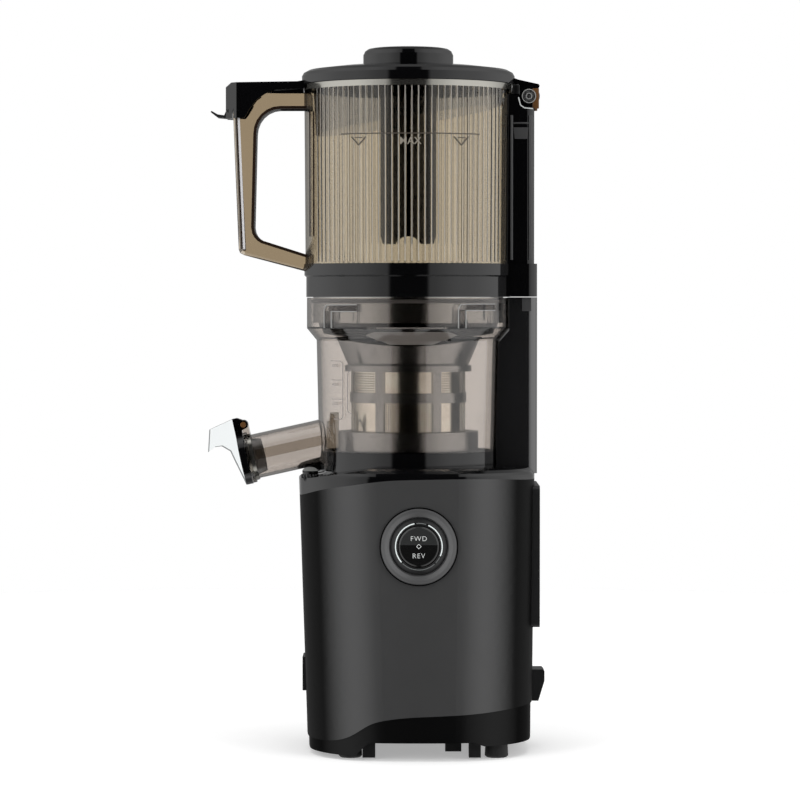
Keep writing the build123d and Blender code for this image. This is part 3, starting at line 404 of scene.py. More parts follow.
def plastic(name, color, roughness=0.4, uneven=0.08, mottle=0.12, grain=0.0, grain_scale=3000.0,
            ior=1.5, coat=0.0, glow=0.0, metallic=0.0):
    mat, tree, bsdf, effect = start_material(name, MOULDED)
    effect.inputs["Color"].default_value = (*color, 1)
    effect.inputs["Mottle"].default_value = mottle
    effect.inputs["Roughness"].default_value = roughness
    effect.inputs["Unevenness"].default_value = uneven
    effect.inputs["Grain Scale"].default_value = grain_scale
    bsdf.inputs["IOR"].default_value = ior
    bsdf.inputs["Metallic"].default_value = metallic
    bsdf.inputs["Coat Weight"].default_value = coat
    if glow:
        bsdf.inputs["Emission Color"].default_value = (*color, 1)
        bsdf.inputs["Emission Strength"].default_value = glow
    if grain:
        bump_from(tree, bsdf, effect.outputs["Height"], grain, grain_depth)
    return mat


def paint_shade_at_edges(mat, start, end):
    """Painted shade: takes colour and sheen off where the surface turns away, so that the body's corners
    render dark.
    """
    tree = mat.node_tree
    bsdf = tree.nodes["Principled BSDF"]
    effect = next(node for node in tree.nodes if node.type == "GROUP")
    facing = tree.nodes.new("ShaderNodeLayerWeight").outputs["Facing"]
    sheen = ramp_between(tree, facing, start, end, full_sheen, edge_shade_sheen)
    link(tree, sheen, bsdf.inputs["Specular IOR Level"])
    # mask of the painted shade, full where the surface turns away
    turned = ramp_between(tree, facing, start, end)
    link(tree, mix_color(tree, turned, effect.outputs["Color"], edge_shade_black), bsdf.inputs["Base Color"])


def split_color(mat, height, above, below):
    """Two colours of a material, changing at a height given in millimetres: one above, one below."""
    tree = mat.node_tree
    effect = next(node for node in tree.nodes if node.type == "GROUP")
    place = next(node for node in tree.nodes if node.type == "TEX_COORD")
    split = tree.nodes.new("ShaderNodeSeparateXYZ")
    link(tree, place.outputs["Object"], split.inputs[0])
    start, end = (height - blend_half) * MM, (height + blend_half) * MM
    upper = ramp_between(tree, split.outputs[2], start, end)
    link(tree, mix_color(tree, upper, below, above), effect.inputs["Color"])


def metal(name, color, roughness=0.3, scratches=900.0, relief=0.1):
    mat, tree, bsdf, effect = start_material(name, BRUSHED)
    effect.inputs["Color"].default_value = (*color, 1)
    effect.inputs["Roughness"].default_value = roughness
    effect.inputs["Scratch Scale"].default_value = scratches
    bsdf.inputs["Metallic"].default_value = 1.0
    bump_from(tree, bsdf, effect.outputs["Height"], relief, scratch_depth)
    return mat


def clear_plastic(name, tint, edge_tint=None, edge_from=0.55, ior=1.49):
    """Clear moulding, darker towards its edges if it has an edge tint."""
    mat, tree, bsdf, effect = start_material(name, CLEAR)
    effect.inputs["Tint"].default_value = (*tint, 1)
    bsdf.inputs["Transmission Weight"].default_value = 1.0
    bsdf.inputs["IOR"].default_value = ior
    if edge_tint:
        effect.inputs["Edge Tint"].default_value = (*edge_tint, 1)
        facing = tree.nodes.new("ShaderNodeLayerWeight").outputs["Facing"]
        link(tree, ramp_between(tree, facing, edge_from, edge_full), effect.inputs["Edge"])
    return mat


smoke = clear_plastic("smoked_jug", (0.64, 0.58, 0.475), (0.16, 0.11, 0.06), edge_from=0.72)
smoke_block = clear_plastic("smoked_handle", (0.32, 0.245, 0.155), (0.12, 0.07, 0.035), edge_from=0.6)
smoke_rim = clear_plastic("smoked_rim", (0.035, 0.02, 0.012))
# painted highlight along the handle's outer edge
smoke_highlight = clear_plastic("smoked_painted_highlight", (0.86, 0.83, 0.80))
smoke_line = clear_plastic("smoked_dark_edge", (0.05, 0.045, 0.04))
bowl = clear_plastic("bowl_grey", (0.66, 0.62, 0.585), (0.10, 0.085, 0.075), edge_from=0.74)
lever_clear = clear_plastic("lever_clear", (0.96, 0.99, 0.995), (0.58, 0.64, 0.66))
guard_clear = clear_plastic("guard_smoke", (0.68, 0.70, 0.75), (0.4, 0.4, 0.42), ior=1.2)
wiper_brown = clear_plastic("wiper_brown", (0.36, 0.32, 0.26), (0.16, 0.13, 0.10))
# painted dark reflection along the spout
spout_reflection_tint = clear_plastic("spout_reflection_tint", (0.6, 0.555, 0.5), ior=1.03)
rib_clear = clear_plastic("rib_clear", (0.5, 0.5, 0.51), ior=1.15)

charcoal = plastic("charcoal_satin", (0.012, 0.012, 0.0125), 0.4, 0.05, grain=0.12, grain_scale=4000,
                   ior=1.75)
shell_charcoal = plastic("charcoal_shell", (0.034, 0.034, 0.0345), 0.4, 0.05, grain=0.12,
                         grain_scale=4000, ior=1.65)
# painted shade on the body shell where it turns away
paint_shade_at_edges(shell_charcoal, 0.03, 0.42)
skirt_black = plastic("skirt_black", (0.0025, 0.0025, 0.0026), 0.3, 0.05, ior=1.25)
# painted shade on the skirt where it turns away
paint_shade_at_edges(skirt_black, 0.12, 0.5)
funnel_grey = plastic("funnel_grey", (0.62, 0.63, 0.64), 0.3, 0.05)
deep_black = plastic("deep_black", (0.0012, 0.0012, 0.0012), 0.3, 0.05, ior=1.12)
collar_sheen = plastic("collar_sheen", (0.38, 0.37, 0.335), 0.14, 0.01, mottle=0.04, metallic=0.95)
# painted highlight on the jug's rib crests
rib_crest_highlight = plastic("rib_crest_highlight", (0.46, 0.43, 0.385), 0.25, 0.05)
column_black = plastic("column_black", (0.0105, 0.0105, 0.011), 0.14, 0.03, ior=2.0)
cheek_black = plastic("cheek_black", (0.0022, 0.0022, 0.0025), 0.3, 0.05)
facet_grey = plastic("facet_grey", (0.045, 0.045, 0.046), 0.4, 0.05)
# painted highlight on the spine's edges
spine_edge_highlight = plastic("spine_edge_highlight", (0.07, 0.07, 0.071), 0.35, 0.05)
ring_grey = plastic("ring_grey", (0.3, 0.3, 0.29), 0.25, 0.05)
# painted highlight line down the handle's outer edge
edge_highlight = plastic("edge_highlight", (0.62, 0.61, 0.62), 0.3, 0.05)
# painted highlight along the edge of the hinge's seat
seat_edge_highlight = plastic("seat_painted_highlight", (0.62, 0.64, 0.63), 0.25, 0.05)
plug_grey = plastic("plug_grey", (0.30, 0.30, 0.295), 0.45, 0.08, grain=0.1)
rim_brown = plastic("rim_brown", (0.018, 0.010, 0.006), 0.2, 0.05)
rocker_lighter_above = plastic("rocker_lighter_above", (0.0022, 0.0022, 0.0025), 0.12, 0.03)
# the rocker is lighter above its middle and darker below
split_color(rocker_lighter_above, switch_mid.z + 1.1, (0.028, 0.029, 0.029), (0.006, 0.006, 0.006))
gloss_black = plastic("piano_black", (0.0022, 0.0022, 0.0025), 0.07, 0.03)
satin_black = plastic("satin_black", (0.012, 0.012, 0.0125), 0.36, 0.08, grain=0.2)
pewter = plastic("pewter_grey", (0.42, 0.425, 0.43), 0.2, 0.02, mottle=0.05, metallic=0.97)
skirt_grey = plastic("skirt_grey", (0.45, 0.45, 0.44), 0.16, 0.01, mottle=0.04, metallic=0.97)
dark_shaft = plastic("shaft_brown_black", (0.006, 0.005, 0.004), 0.1, 0.04)
hinge_brown = plastic("hinge_brown", (0.12, 0.055, 0.02), 0.15, 0.05, coat=0.3)
auger_dark = plastic("auger_dark", (0.012, 0.011, 0.010), 0.14, 0.05)
bezel_grey = plastic("bezel_satin", (0.062, 0.062, 0.063), 0.38, 0.06, grain=0.1, ior=1.7)
screen = metal("screen_steel", (1.0, 0.96, 0.87), 0.15, 1500.0, 0.05)
lug_grey = plastic("lug_grey", (0.22, 0.225, 0.22), 0.3)
legend_white = plastic("legend_white", (0.72, 0.74, 0.73), 0.5)
# painted highlight, glowing faintly, and painted dark reflection on the ring round the rocker
ring_highlight = plastic("ring_painted_highlight", (0.8, 0.86, 0.85), 0.3, glow=0.1)
ring_dark_reflection = plastic("ring_painted_dark", (0.16, 0.17, 0.17), 0.3)
mark_dark = plastic("mark_dark", (0.055, 0.045, 0.035), 0.35)
mark_cream = plastic("mark_cream", (0.25, 0.225, 0.185), 0.35)
scale_grey = plastic("scale_grey", (0.30, 0.27, 0.255), 0.4)
# painted highlight along the edges of the lock ribs
scale_pale = plastic("scale_pale", (0.33, 0.33, 0.325), 0.3)

finishes = {
    "charcoal_shell": charcoal,
    "gloss_black": gloss_black,
    "satin_black": satin_black,
    "smoke_clear": smoke,
    "smoke_brown": dark_shaft,
    "bowl_clear": bowl,
    "clear": lever_clear,
    "grey_frame": pewter,
    "grey_clear": skirt_grey,
    "light_grey": plastic("light_grey", (0.4, 0.41, 0.41), 0.35, grain=0.1),
    "screen_steel": screen,
    "grey_silicone": plastic("grey_silicone", (0.2, 0.2, 0.205), 0.5, 0.1, grain=0.1),
    "brown_silicone": plastic("brown_silicone", (0.14, 0.095, 0.06), 0.45, 0.1),
    "foot_rubber": plastic("foot_rubber", (0.012, 0.012, 0.012), 0.75, 0.1, grain=0.35),
    "steel": metal("plain_steel", (0.6, 0.6, 0.6), 0.28),
    "laminations": metal("laminations", (0.35, 0.35, 0.37), 0.4, 2500.0, 0.4),
    "cast_alloy": metal("cast_alloy", (0.6, 0.6, 0.61), 0.42, 600.0, 0.3),
    "gear_resin": plastic("gear_resin", (0.7, 0.68, 0.6), 0.45, 0.1),
    "ultem": auger_dark,
    "board_green": plastic("board_green", (0.02, 0.12, 0.05), 0.4, mottle=0.3),
    "ring_light": ring_highlight,
}
by_node = {
    "lid_guard": guard_clear,
    "hinge_bracket": gloss_black,
    "switch_bezel": bezel_grey,
    "switch_rocker": rocker_lighter_above,
    "body_shell": shell_charcoal,
    "base_skirt": skirt_black,
    "rear_column": column_black,
    "lock_tab": facet_grey,
    "wiper_blades": wiper_brown,
    "cap_plug": plug_grey,
}


def finish_cad_nodes():
    """Each CAD node gets the finish of its slot, or its own where it differs from its slot's."""
    for name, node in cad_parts.items():
        for old in node.material_slots:
            slot = old.material.name.split(".")[0]
            old.material = by_node.get(name, finishes[slot])


# ---------------------------------------------------------------- building pieces
def piece(name, bm, looks, body, stands_for=(), sharp=32):
    """Makes a mesh drawn in millimetres about the drive axis into a finished piece on its body."""
    bmesh.ops.transform(bm, matrix=FROM_AXIS, verts=bm.verts)
    mesh = bpy.data.meshes.new(name)
    bm.to_mesh(mesh)
    bm.free()
    for look in looks:
        mesh.materials.append(look)
    mesh.shade_smooth()
    mesh.set_sharp_from_angle(angle=radians(sharp))
    made = bpy.data.objects.new(name, mesh)
    bpy.context.scene.collection.objects.link(made)
    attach(made, body)
    if stands_for:
        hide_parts(*stands_for)
    return made


def chain(bm, points, closed=False):
    """Vertices and edges through the points."""
    verts = [bm.verts.new(p) for p in points]
    pairs = list(zip(verts, verts[1:]))
    if closed:
        pairs.append((verts[-1], verts[0]))
    return verts, [bm.edges.new(pair) for pair in pairs]


def tidy_faces(bm):
    bmesh.ops.remove_doubles(bm, verts=bm.verts, dist=0.001)
    bmesh.ops.recalc_face_normals(bm, faces=bm.faces)


def turned_ring(bm, profile, centre, axis, steps=96):
    """Ring made by turning a closed profile once round an axis."""
    verts, edges = chain(bm, profile, True)
    bmesh.ops.spin(bm, geom=verts + edges, cent=centre, axis=axis, angle=2 * pi, steps=steps,
                   use_merge=True)


def drive_axis_ring(bm, points):
    """Ring about the drive axis from a profile of (radius, height) points."""
    turned_ring(bm, [(r, 0, z) for r, z in points], (0, 0, 0), (0, 0, 1))
    tidy_faces(bm)


def push_out(bm, by):
    """Gives the flat faces a depth by extruding all of them along a vector."""
    grown = bmesh.ops.extrude_face_region(bm, geom=list(bm.faces))["geom"]
    bmesh.ops.translate(bm, verts=[g for g in grown if isinstance(g, bmesh.types.BMVert)], vec=by)
    bmesh.ops.recalc_face_normals(bm, faces=bm.faces)


def round_off(bm, edges, radius, segments=2):
    bmesh.ops.bevel(bm, geom=edges, offset=radius, offset_type="OFFSET", segments=segments,
                    profile=0.5, affect="EDGES", material=-1, clamp_overlap=True)


def raised(bm, edges, place):
    """Extrudes the loop of edges and moves each new vertex to place(its position)."""
    grown = bmesh.ops.extrude_edge_only(bm, edges=edges)["geom"]
    for vert in (g for g in grown if isinstance(g, bmesh.types.BMVert)):
        vert.co = place(vert.co)
    return [g for g in grown if isinstance(g, bmesh.types.BMEdge)
            and all(v in grown for v in g.verts)]


def block(bm, low, high, soften=0.0):
    """Box between two corners, with its edges softened."""
    made = bmesh.ops.create_cube(bm, size=1.0)["verts"]
    low, high = Vector(low), Vector(high)
    for v in made:
        v.co = (low + high) / 2 + Vector(a * b for a, b in zip(v.co, high - low))
    if soften:
        round_off(bm, list({e for v in made for e in v.link_edges}), soften)
    return made


# ---------------------------------------------------------------- strips, lines and words on a surface
strip_step = 3.0               # length of one face of a strip that follows a curved wall


def strip(bm, place, start, end, width, lift, steps=0):
    """Flat strip between two places on a surface; place(x, z, lift) gives its points."""
    start, end = Vector(start), Vector(end)
    along = end - start
    across = Vector((-along.y, along.x)).normalized() * width
    steps = steps or max(1, round(along.length / strip_step))
    made = bmesh.ops.create_grid(bm, x_segments=steps, y_segments=1, size=0.5)["verts"]
    for v in made:
        at = (start + end) / 2 + along * v.co.x + across * v.co.y
        v.co = place(at.x, at.y, lift)


def line_through(bm, place, points, width, lift):
    """Strips from each point to the next."""
    for start, end in zip(points, points[1:]):
        strip(bm, place, start, end, width, lift)


def give_depth(bm, depth):
    """Turns strips seen from in front into thin solids."""
    bmesh.ops.recalc_face_normals(bm, faces=bm.faces)
    outward = sum(f.normal.y * f.calc_area() for f in bm.faces) < 0
    if not outward:
        bmesh.ops.reverse_faces(bm, faces=bm.faces)
    bmesh.ops.solidify(bm, geom=list(bm.faces), thickness=depth)
    bmesh.ops.recalc_face_normals(bm, faces=bm.faces)


def drawn(name, look, body, place, lines, lift, depth):
    """Piece of raised lines on a surface; each line is its points and its width."""
    bm = bmesh.new()
    for points, width in lines:
        line_through(bm, place, points, width, lift)
    give_depth(bm, depth)
    piece(name, bm, [look], body)


def word(text, height, weight, spacing, depth):
    """Solid word that faces the front, with its middle at the origin and a given cap height."""
    curve = bpy.data.curves.new(text, "FONT")
    curve.body = text
    curve.align_x = "CENTER"
    curve.align_y = "CENTER"
    curve.size = 1.0
    curve.offset = weight
    curve.space_character = spacing
    curve.resolution_u = 4
    holder = bpy.data.objects.new(text, curve)
    bpy.context.scene.collection.objects.link(holder)
    bpy.context.view_layer.update()
    mesh = bpy.data.meshes.new_from_object(holder)
    bpy.data.objects.remove(holder)
    bm = bmesh.new()
    bm.from_mesh(mesh)
    bpy.data.meshes.remove(mesh)
    lowest = min(v.co.y for v in bm.verts)
    highest = max(v.co.y for v in bm.verts)
    scale = height / (highest - lowest)
    for v in bm.verts:
        v.co = Vector((v.co.x * scale, 0, (v.co.y - (lowest + highest) / 2) * scale))
    push_out(bm, (0, -depth, 0))
    return bm


# ---------------------------------------------------------------- jug
rib_pitch = 3.6                # degrees
rib_count = 34                 # on the front, and again on the back
rib_width = 1.5
rib_height = 0.5
rib_steps = 7                  # across a rib
rib_fullness = 0.8             # 1 is a plain sine
collar_high = 4.3              # plain collar over the ribs
rib_foot = 1.4                 # plain strip under them
run_out = 0.3                  # height over which the ribs end
ring_seat = 1.2                # how far the wall stands back below the ledge, for the black ring
inner_taper_drop = 4.0         # the inside tapers to this far below the ledge
crest_share = 0.94             # of a rib's height, above which its crest carries a painted highlight


def jug_radius(z):
    t = (z - jug_ledge) / (jug_top - jug_ledge)
    return jug_r_low + (jug_r_top - jug_r_low) * t


def rib_land(bm, start, count, height):
    """One rib with the land beside it on the jug's ring, repeated count times from start degrees."""
    half = degrees(rib_width / 2 / jug_r_top)
    points = [(0.0, 0.0)]
    if height:
        for k in range(rib_steps + 1):
            a = pi * k / rib_steps
            lift = height * sin(a) ** rib_fullness if 0 < k < rib_steps else 0.0
            points.append((rib_pitch / 2 - half * cos(a), lift))
    else:
        points.append((rib_pitch / 2, 0.0))
    points.append((rib_pitch, 0.0))
    places = []
    for turn, lift in points:
        a = radians(start + turn)
        places.append(((jug_r_low + lift) * cos(a), (jug_r_low + lift) * sin(a), 0))
    verts, edges = chain(bm, places)
    if count > 1:
        bmesh.ops.spin(bm, geom=verts + edges, cent=(0, 0, 0), axis=(0, 0, 1),
                       angle=radians(rib_pitch * (count - 1)), steps=count - 1, use_duplicate=True)


def make_jug_wall():
    """Clear jug wall, ribbed at the front and the back, with a painted highlight on the rib crests and a
    shiny collar.
    """
    bm = bmesh.new()
    span_front = rib_pitch * rib_count
    front_from = 270 - span_front / 2
    back_from = 90 - span_front / 2
    side_count = round((180 - span_front) / rib_pitch)
    rib_land(bm, front_from, rib_count, rib_height)
    rib_land(bm, front_from + span_front, side_count, 0)
    rib_land(bm, back_from, rib_count, rib_height)
    rib_land(bm, back_from + span_front, side_count, 0)
    bmesh.ops.remove_doubles(bm, verts=bm.verts, dist=0.01)

    def at(z, radius=None, grow=0.0):
        """Moves a ring to a height: plain at a radius, or ribbed with its lifts kept."""
        def place(co):
            flat = Vector((co.x, co.y, 0))
            flat = flat.normalized() * (radius or flat.length + grow)
            return Vector((flat.x, flat.y, z))
        return place

    foot, top = jug_ledge + rib_foot, jug_top - collar_high
    ribbed = list(bm.edges)
    for vert in bm.verts:
        vert.co.z = foot
    upper = raised(bm, ribbed, at(top, grow=jug_radius(top) - jug_radius(foot)))
    lip = raised(bm, upper, at(top + run_out, jug_radius(top)))
    collar = raised(bm, lip, at(jug_top, jug_r_top))
    rim = raised(bm, collar, at(jug_top, jug_r_top - jug_wall_t))
    inside = raised(bm, rim, at(jug_ledge - inner_taper_drop, jug_r_low - jug_wall_t))
    inner = raised(bm, inside, at(jug_foot, jug_r_low - jug_wall_t))
    under = raised(bm, inner, at(jug_foot, jug_r_low - ring_seat))
    step = raised(bm, under, at(jug_ledge, jug_r_low - ring_seat))
    ledge = raised(bm, step, at(jug_ledge, jug_r_low))
    lower = raised(bm, ledge, at(foot - run_out, jug_r_low))
    bmesh.ops.bridge_loops(bm, edges=ribbed + lower)
    bmesh.ops.remove_doubles(bm, verts=bm.verts, dist=0.002)
    bmesh.ops.recalc_face_normals(bm, faces=bm.faces)
    for f in bm.faces:
        mid = f.calc_center_median()
        outward = sqrt(mid.x ** 2 + mid.y ** 2) - jug_radius(mid.z)
        # the rib crests take the painted highlight
        if foot < mid.z < top and outward > crest_share * rib_height:
            f.material_index = 1
        elif mid.z > top + run_out and outward > -jug_wall_t / 10:
            f.material_index = 2
    piece("jug_wall", bm, [smoke, rib_crest_highlight, collar_sheen], "hopper", ["hopper_shell"])


def on_jug(x, z, lift=0.0):
    """Point on the front of the jug's wall at a place seen from in front."""
    r = jug_radius(z)
    turn = asin(x / r)
    return Vector(((r + lift) * sin(turn), -(r + lift) * cos(turn), z))


# ---------------------------------------------------------------- handle
# outline and finger opening, seen from in front
handle_root = -69.0            # inside the jug's wall
handle_x = -jug_r_top - 48.6
handle_top = jug_top - 5.5
edge_top, edge_foot = handle_top - 14.5, jug_ledge + 10.0      # ends of its straight outer edge
handle_lean = 3.7              # how far that edge's foot is drawn in
handle_outline = [(handle_root, handle_top), (handle_x + 14.3, handle_top),
                  (handle_x + 6.8, handle_top - 2.6), (handle_x + 1.9, handle_top - 7.6),
                  (handle_x, edge_top), (handle_x + handle_lean, edge_foot),
                  (handle_x + 4.7, jug_ledge + 7.4), (handle_x + 7.5, jug_ledge + 5.9),
                  (handle_root, jug_ledge - 5.7)]
grip_left = handle_x + 16.0
grip_top = handle_top - 11.4
grip_foot = 359.5              # where the lower corner begins
grip_lean = 1.6                # how far the opening's left side runs out down to there
grip_floor = 340.6
grip_end = -68.6
corner_wide, corner_high = 16.3, 17.0
low_corner = 10.0
upper_corner = [(grip_left + corner_wide - corner_wide * sin(radians(a)),
                 grip_top - corner_high + corner_high * cos(radians(a))) for a in range(15, 91, 15)]
lower_corner = [(grip_left - grip_lean + low_corner - low_corner * cos(radians(a)),
                 grip_foot - low_corner * sin(radians(a))) for a in range(20, 80, 15)]
grip_outline = [(grip_end, grip_top), (grip_left + corner_wide, grip_top), *upper_corner,
                (grip_left - grip_lean, grip_foot), *lower_corner,
                (grip_end - 2.4, grip_floor + 0.6), (grip_end, grip_floor)]
handle_half = 14.0
liner_width = 2.0
outer_rounding = 3.4
grip_rounding = 1.7
line_top = 436.0               # head of the lines down its outer edge
line_depth = 0.3
# the pale line is a painted highlight
edge_lines = (("handle_dark_line", rim_brown, 2.4, 0.8),       # place across the edge and width
              ("handle_highlight_line", edge_highlight, 3.95, 1.5))
line_lift = 0.2
edge_zone = 9.0                # what counts as the outer edge
band_head = handle_top - 20.0
liner_proud = 0.15
close = 0.05                   # reach within which a place lies on an outline
rim_reach = 1.2                # dark rim along the finger opening
highlight_to, dark_to, rim_to = 0.9, 1.9, 3.3      # bands across the outer edge: painted highlight, dark line, painted highlight


def make_handle():
    """Loop handle: a clear block with softened edges; handle_look picks the finish of each face."""
    bm = bmesh.new()
    loop = handle_outline + grip_outline[::-1]
    verts, edges = chain(bm, [(x, -handle_half, z) for x, z in loop], closed=True)
    bm.faces.new(verts)
    push_out(bm, (0, 2 * handle_half, 0))
    root = [f for f in bm.faces if f.calc_center_median().x > handle_root - 0.2]
    outer = [e for e in bm.edges if on_handle_face(e)
             and not any(f in root for f in e.link_faces)
             and min(v.co.x for v in e.verts) < handle_root - 0.5
             and all(v.co.x < handle_x + edge_zone or on_outer_line(v.co) for v in e.verts)]
    round_off(bm, outer, outer_rounding, 4)
    round_off(bm, [e for e in bm.edges if on_grip_line(e) and on_handle_face(e)], grip_rounding, 3)
    bm.normal_update()
    for f in bm.faces:
        f.material_index = handle_look(f)
    bmesh.ops.recalc_face_normals(bm, faces=bm.faces)
    piece("jug_handle", bm, [smoke_block, smoke_rim, smoke_highlight, smoke_line], "hopper",
          ["hopper_shell"], sharp=50)


def on_handle_face(edge):
    """True for an edge that lies in the handle's front or back face."""
    first, last = (v.co.y for v in edge.verts)
    return abs(abs(first) - handle_half) < 0.1 and abs(first - last) < 0.1


def on_handle(x, z, lift):
    return Vector((x, -handle_half - lift, z))


def grown_outline(points, by):
    """The same open outline moved to its left by a distance."""
    grown = []
    for k, here in enumerate(points):
        before = Vector(points[max(k - 1, 0)])
        after = Vector(points[min(k + 1, len(points) - 1)])
        along = (after - before).normalized()
        grown.append((here[0] - along.y * by, here[1] + along.x * by))
    return grown


def make_grip_liner():
    """Dark liner round the finger opening, from the front of the handle to its back."""
    bm = bmesh.new()
    front = -handle_half - liner_proud
    inner = [(x, front, z) for x, z in grip_outline]
    outer = [(x, front, z) for x, z in grown_outline(grip_outline, -liner_width)]
    edges = chain(bm, inner)[1] + chain(bm, outer)[1]
    bmesh.ops.bridge_loops(bm, edges=edges)
    push_out(bm, (0, -2 * front, 0))
    piece("grip_liner", bm, [rim_brown], "hopper", sharp=40)


def make_handle_lines():
    """Dark line and painted highlight line down the handle's outer edge, on its back and on its front."""
    for name, look, across, width in edge_lines:
        bm = bmesh.new()
        edge = [(handle_x + across, line_top), (handle_x + handle_lean + across, edge_foot)]
        line_through(bm, on_handle, edge, width, line_lift)
        for v in bm.verts:
            v.co.y = -v.co.y
        line_through(bm, on_handle, edge, width, line_lift)
        give_depth(bm, line_depth)
        piece(name, bm, [look], "hopper")


def near_segments(x, z, points, reach):
    """True for a place that lies within reach of the line through the points."""
    for (ax, az), (bx, bz) in zip(points, points[1:]):
        along = Vector((bx - ax, bz - az))
        rel = Vector((x - ax, z - az))
        t = max(0.0, min(1.0, rel.dot(along) / along.length_squared))
        if (rel - along * t).length < reach:
            return True
    return False


def on_outer_line(co):
    return near_segments(co.x, co.z, handle_outline, close)


def on_grip_line(edge):
    return all(near_segments(v.co.x, v.co.z, grip_outline, close) for v in edge.verts)


def handle_look(face):
    """0 block, 1 dark rim of the finger opening, 2 painted highlight on the outer edge, 3 the dark line in
    it.
    """
    mid = face.calc_center_median()
    if near_segments(mid.x, mid.z, grip_outline, rim_reach):
        return 1
    if mid.x < handle_x + edge_zone and mid.z < band_head:
        down = (edge_top - mid.z) / (edge_top - edge_foot)
        depth = mid.x - handle_x - down * handle_lean
        if highlight_to <= depth < dark_to:
            return 3
        if depth < rim_to:
            return 2
    return 0


pad_left, pad_right = -94.0, -72.2
pad_high = 2.3
pad_fall = 1.5                 # lower at its outer end
pad_set_back = 1.0             # from the handle's faces


def make_handle_pad():
    """Dark pad on the handle's upper arm, on which the lid's nose rests."""
    bm = bmesh.new()
    half = handle_half - pad_set_back
    made = block(bm, (pad_left, -half, handle_top - 0.4), (pad_right, half, handle_top + pad_high))
    for v in made:
        if v.co.z > handle_top and v.co.x < (pad_left + pad_right) / 2:
            v.co.z -= pad_fall
    bmesh.ops.recalc_face_normals(bm, faces=bm.faces)
    piece("handle_pad", bm, [deep_black], "hopper")


# ---------------------------------------------------------------- marks on the jug
max_z = 421.3
max_left, max_right = -45.0, 47.4
arrow_x = (-33.2, 35.2)
arrow_top, arrow_tip, arrow_half = 419.2, 413.6, 4.8
base_z, base_half = arrow_top - 0.6, 2.6     # short bar between an arrow's arms
max_width, arrow_width, base_width = 0.75, 0.8, 0.6
mark_lift = 0.75               # clear of the ribs
seam_x = (-66.6, -64.2)
seam_low, seam_high = 353, 438
seam_width, seam_lift = 0.7, 0.5
word_x, word_z = 1.2, max_z - 5.0
word_high = 4.6
word_depth = 0.45


def make_jug_marks():
    """Line of the greatest filling with its two arrows."""
    lines = [([(max_left, max_z), (max_right, max_z)], max_width)]
    for x in arrow_x:
        lines.append(([(x - arrow_half, arrow_top), (x, arrow_tip), (x + arrow_half, arrow_top)],
                      arrow_width))
        lines.append(([(x - base_half, base_z), (x + base_half, base_z)], base_width))
    drawn("max_line", mark_dark, "hopper", on_jug, lines, mark_lift, 0.5)


def make_jug_seams():
    """Seams beside the handle's root."""
    lines = [([(x, seam_low), (x, seam_high)], seam_width) for x in seam_x]
    drawn("jug_seams", rim_brown, "hopper", on_jug, lines, seam_lift, 0.4)


def make_max_word():
    """The word below the line of the greatest filling."""
    bm = word("MAX", word_high, 0.01, 1.05, word_depth)
    for v in bm.verts:
        v.co = on_jug(v.co.x + word_x, v.co.z + word_z, word_depth - v.co.y)
    piece("max_word", bm, [mark_cream], "hopper")


# ---------------------------------------------------------------- drum: ribs, scale, funnel and seal
def on_drum(x, z, lift):
    """Point on the front of the drum's wall at a place seen from in front."""
    r = (drum_r if z > drum_band else drum_r_low) + lift
    turn = asin(x / r)
    return Vector((r * sin(turn), -r * cos(turn), z))


rib_foot_z = drum_band + 0.4
# each L-shaped rib: its bar's start, end and height, its post's middle, head and width
lock_rib_shapes = ((-54.0, -35.4, 304.1, -54.8, 302.1, 4.4),
                   (39.5, 59.0, 304.8, 36.3, 302.8, 4.8))
lock_rib_borders = ([(-57.2, rib_foot_z), (-57.2, 303.5), (-55.6, 306.2), (-35.4, 306.4)],
                    [(-52.4, rib_foot_z), (-52.4, 301.9), (-35.4, 301.9)],
                    [(33.8, rib_foot_z), (33.8, 303.9), (35.6, 306.8), (59.0, 306.9)],
                    [(38.8, rib_foot_z), (38.8, 302.6), (59.0, 302.6)])
bar_width = 4.0
border_width = 0.5
lock_rib_lift, border_lift = 0.7, 0.9


def make_lock_ribs():
    """The two L-shaped ribs that the jug's ring turns onto, with a painted highlight along their edges."""
    bm = bmesh.new()
    for start, end, bar_z, post, head, post_width in lock_rib_shapes:
        strip(bm, on_drum, (start, bar_z), (end, bar_z), bar_width, lock_rib_lift)
        strip(bm, on_drum, (post, rib_foot_z), (post, head), post_width, lock_rib_lift, steps=5)
    give_depth(bm, 0.6)
    piece("lock_ribs", bm, [rib_clear], "drum")
    lines = [(points, border_width) for points in lock_rib_borders]
    drawn("lock_rib_edges", scale_pale, "drum", on_drum, lines, border_lift, 0.8)


scale_x = -44.6                # right border of the scale
scale_top, scale_foot = 268.2, 228.6
scale_corner = 1.6
scale_borders = ([(-52.8, scale_top), (scale_x - scale_corner, scale_top),
                  (scale_x, scale_top - scale_corner), (scale_x, scale_foot + scale_corner),
                  (scale_x - scale_corner, scale_foot), (-50.8, scale_foot)],
                 [(-52.2, 255.3), (scale_x, 255.3)],
                 [(-52.2, 242.3), (scale_x, 242.3)],
                 [(-38.3, 261.8), (-40.6, 261.0), (-41.3, 259.5), (-41.3, 235.2),
                  (-40.6, 233.6), (-38.3, 232.9)])
scale_numbers = (("600", 265.2), ("400", 252.3), ("200", 239.3))
number_x = -49.8
number_high = 2.1
number_lift, number_depth = 0.3, 0.25
scale_line, scale_lift = 0.4, 0.35


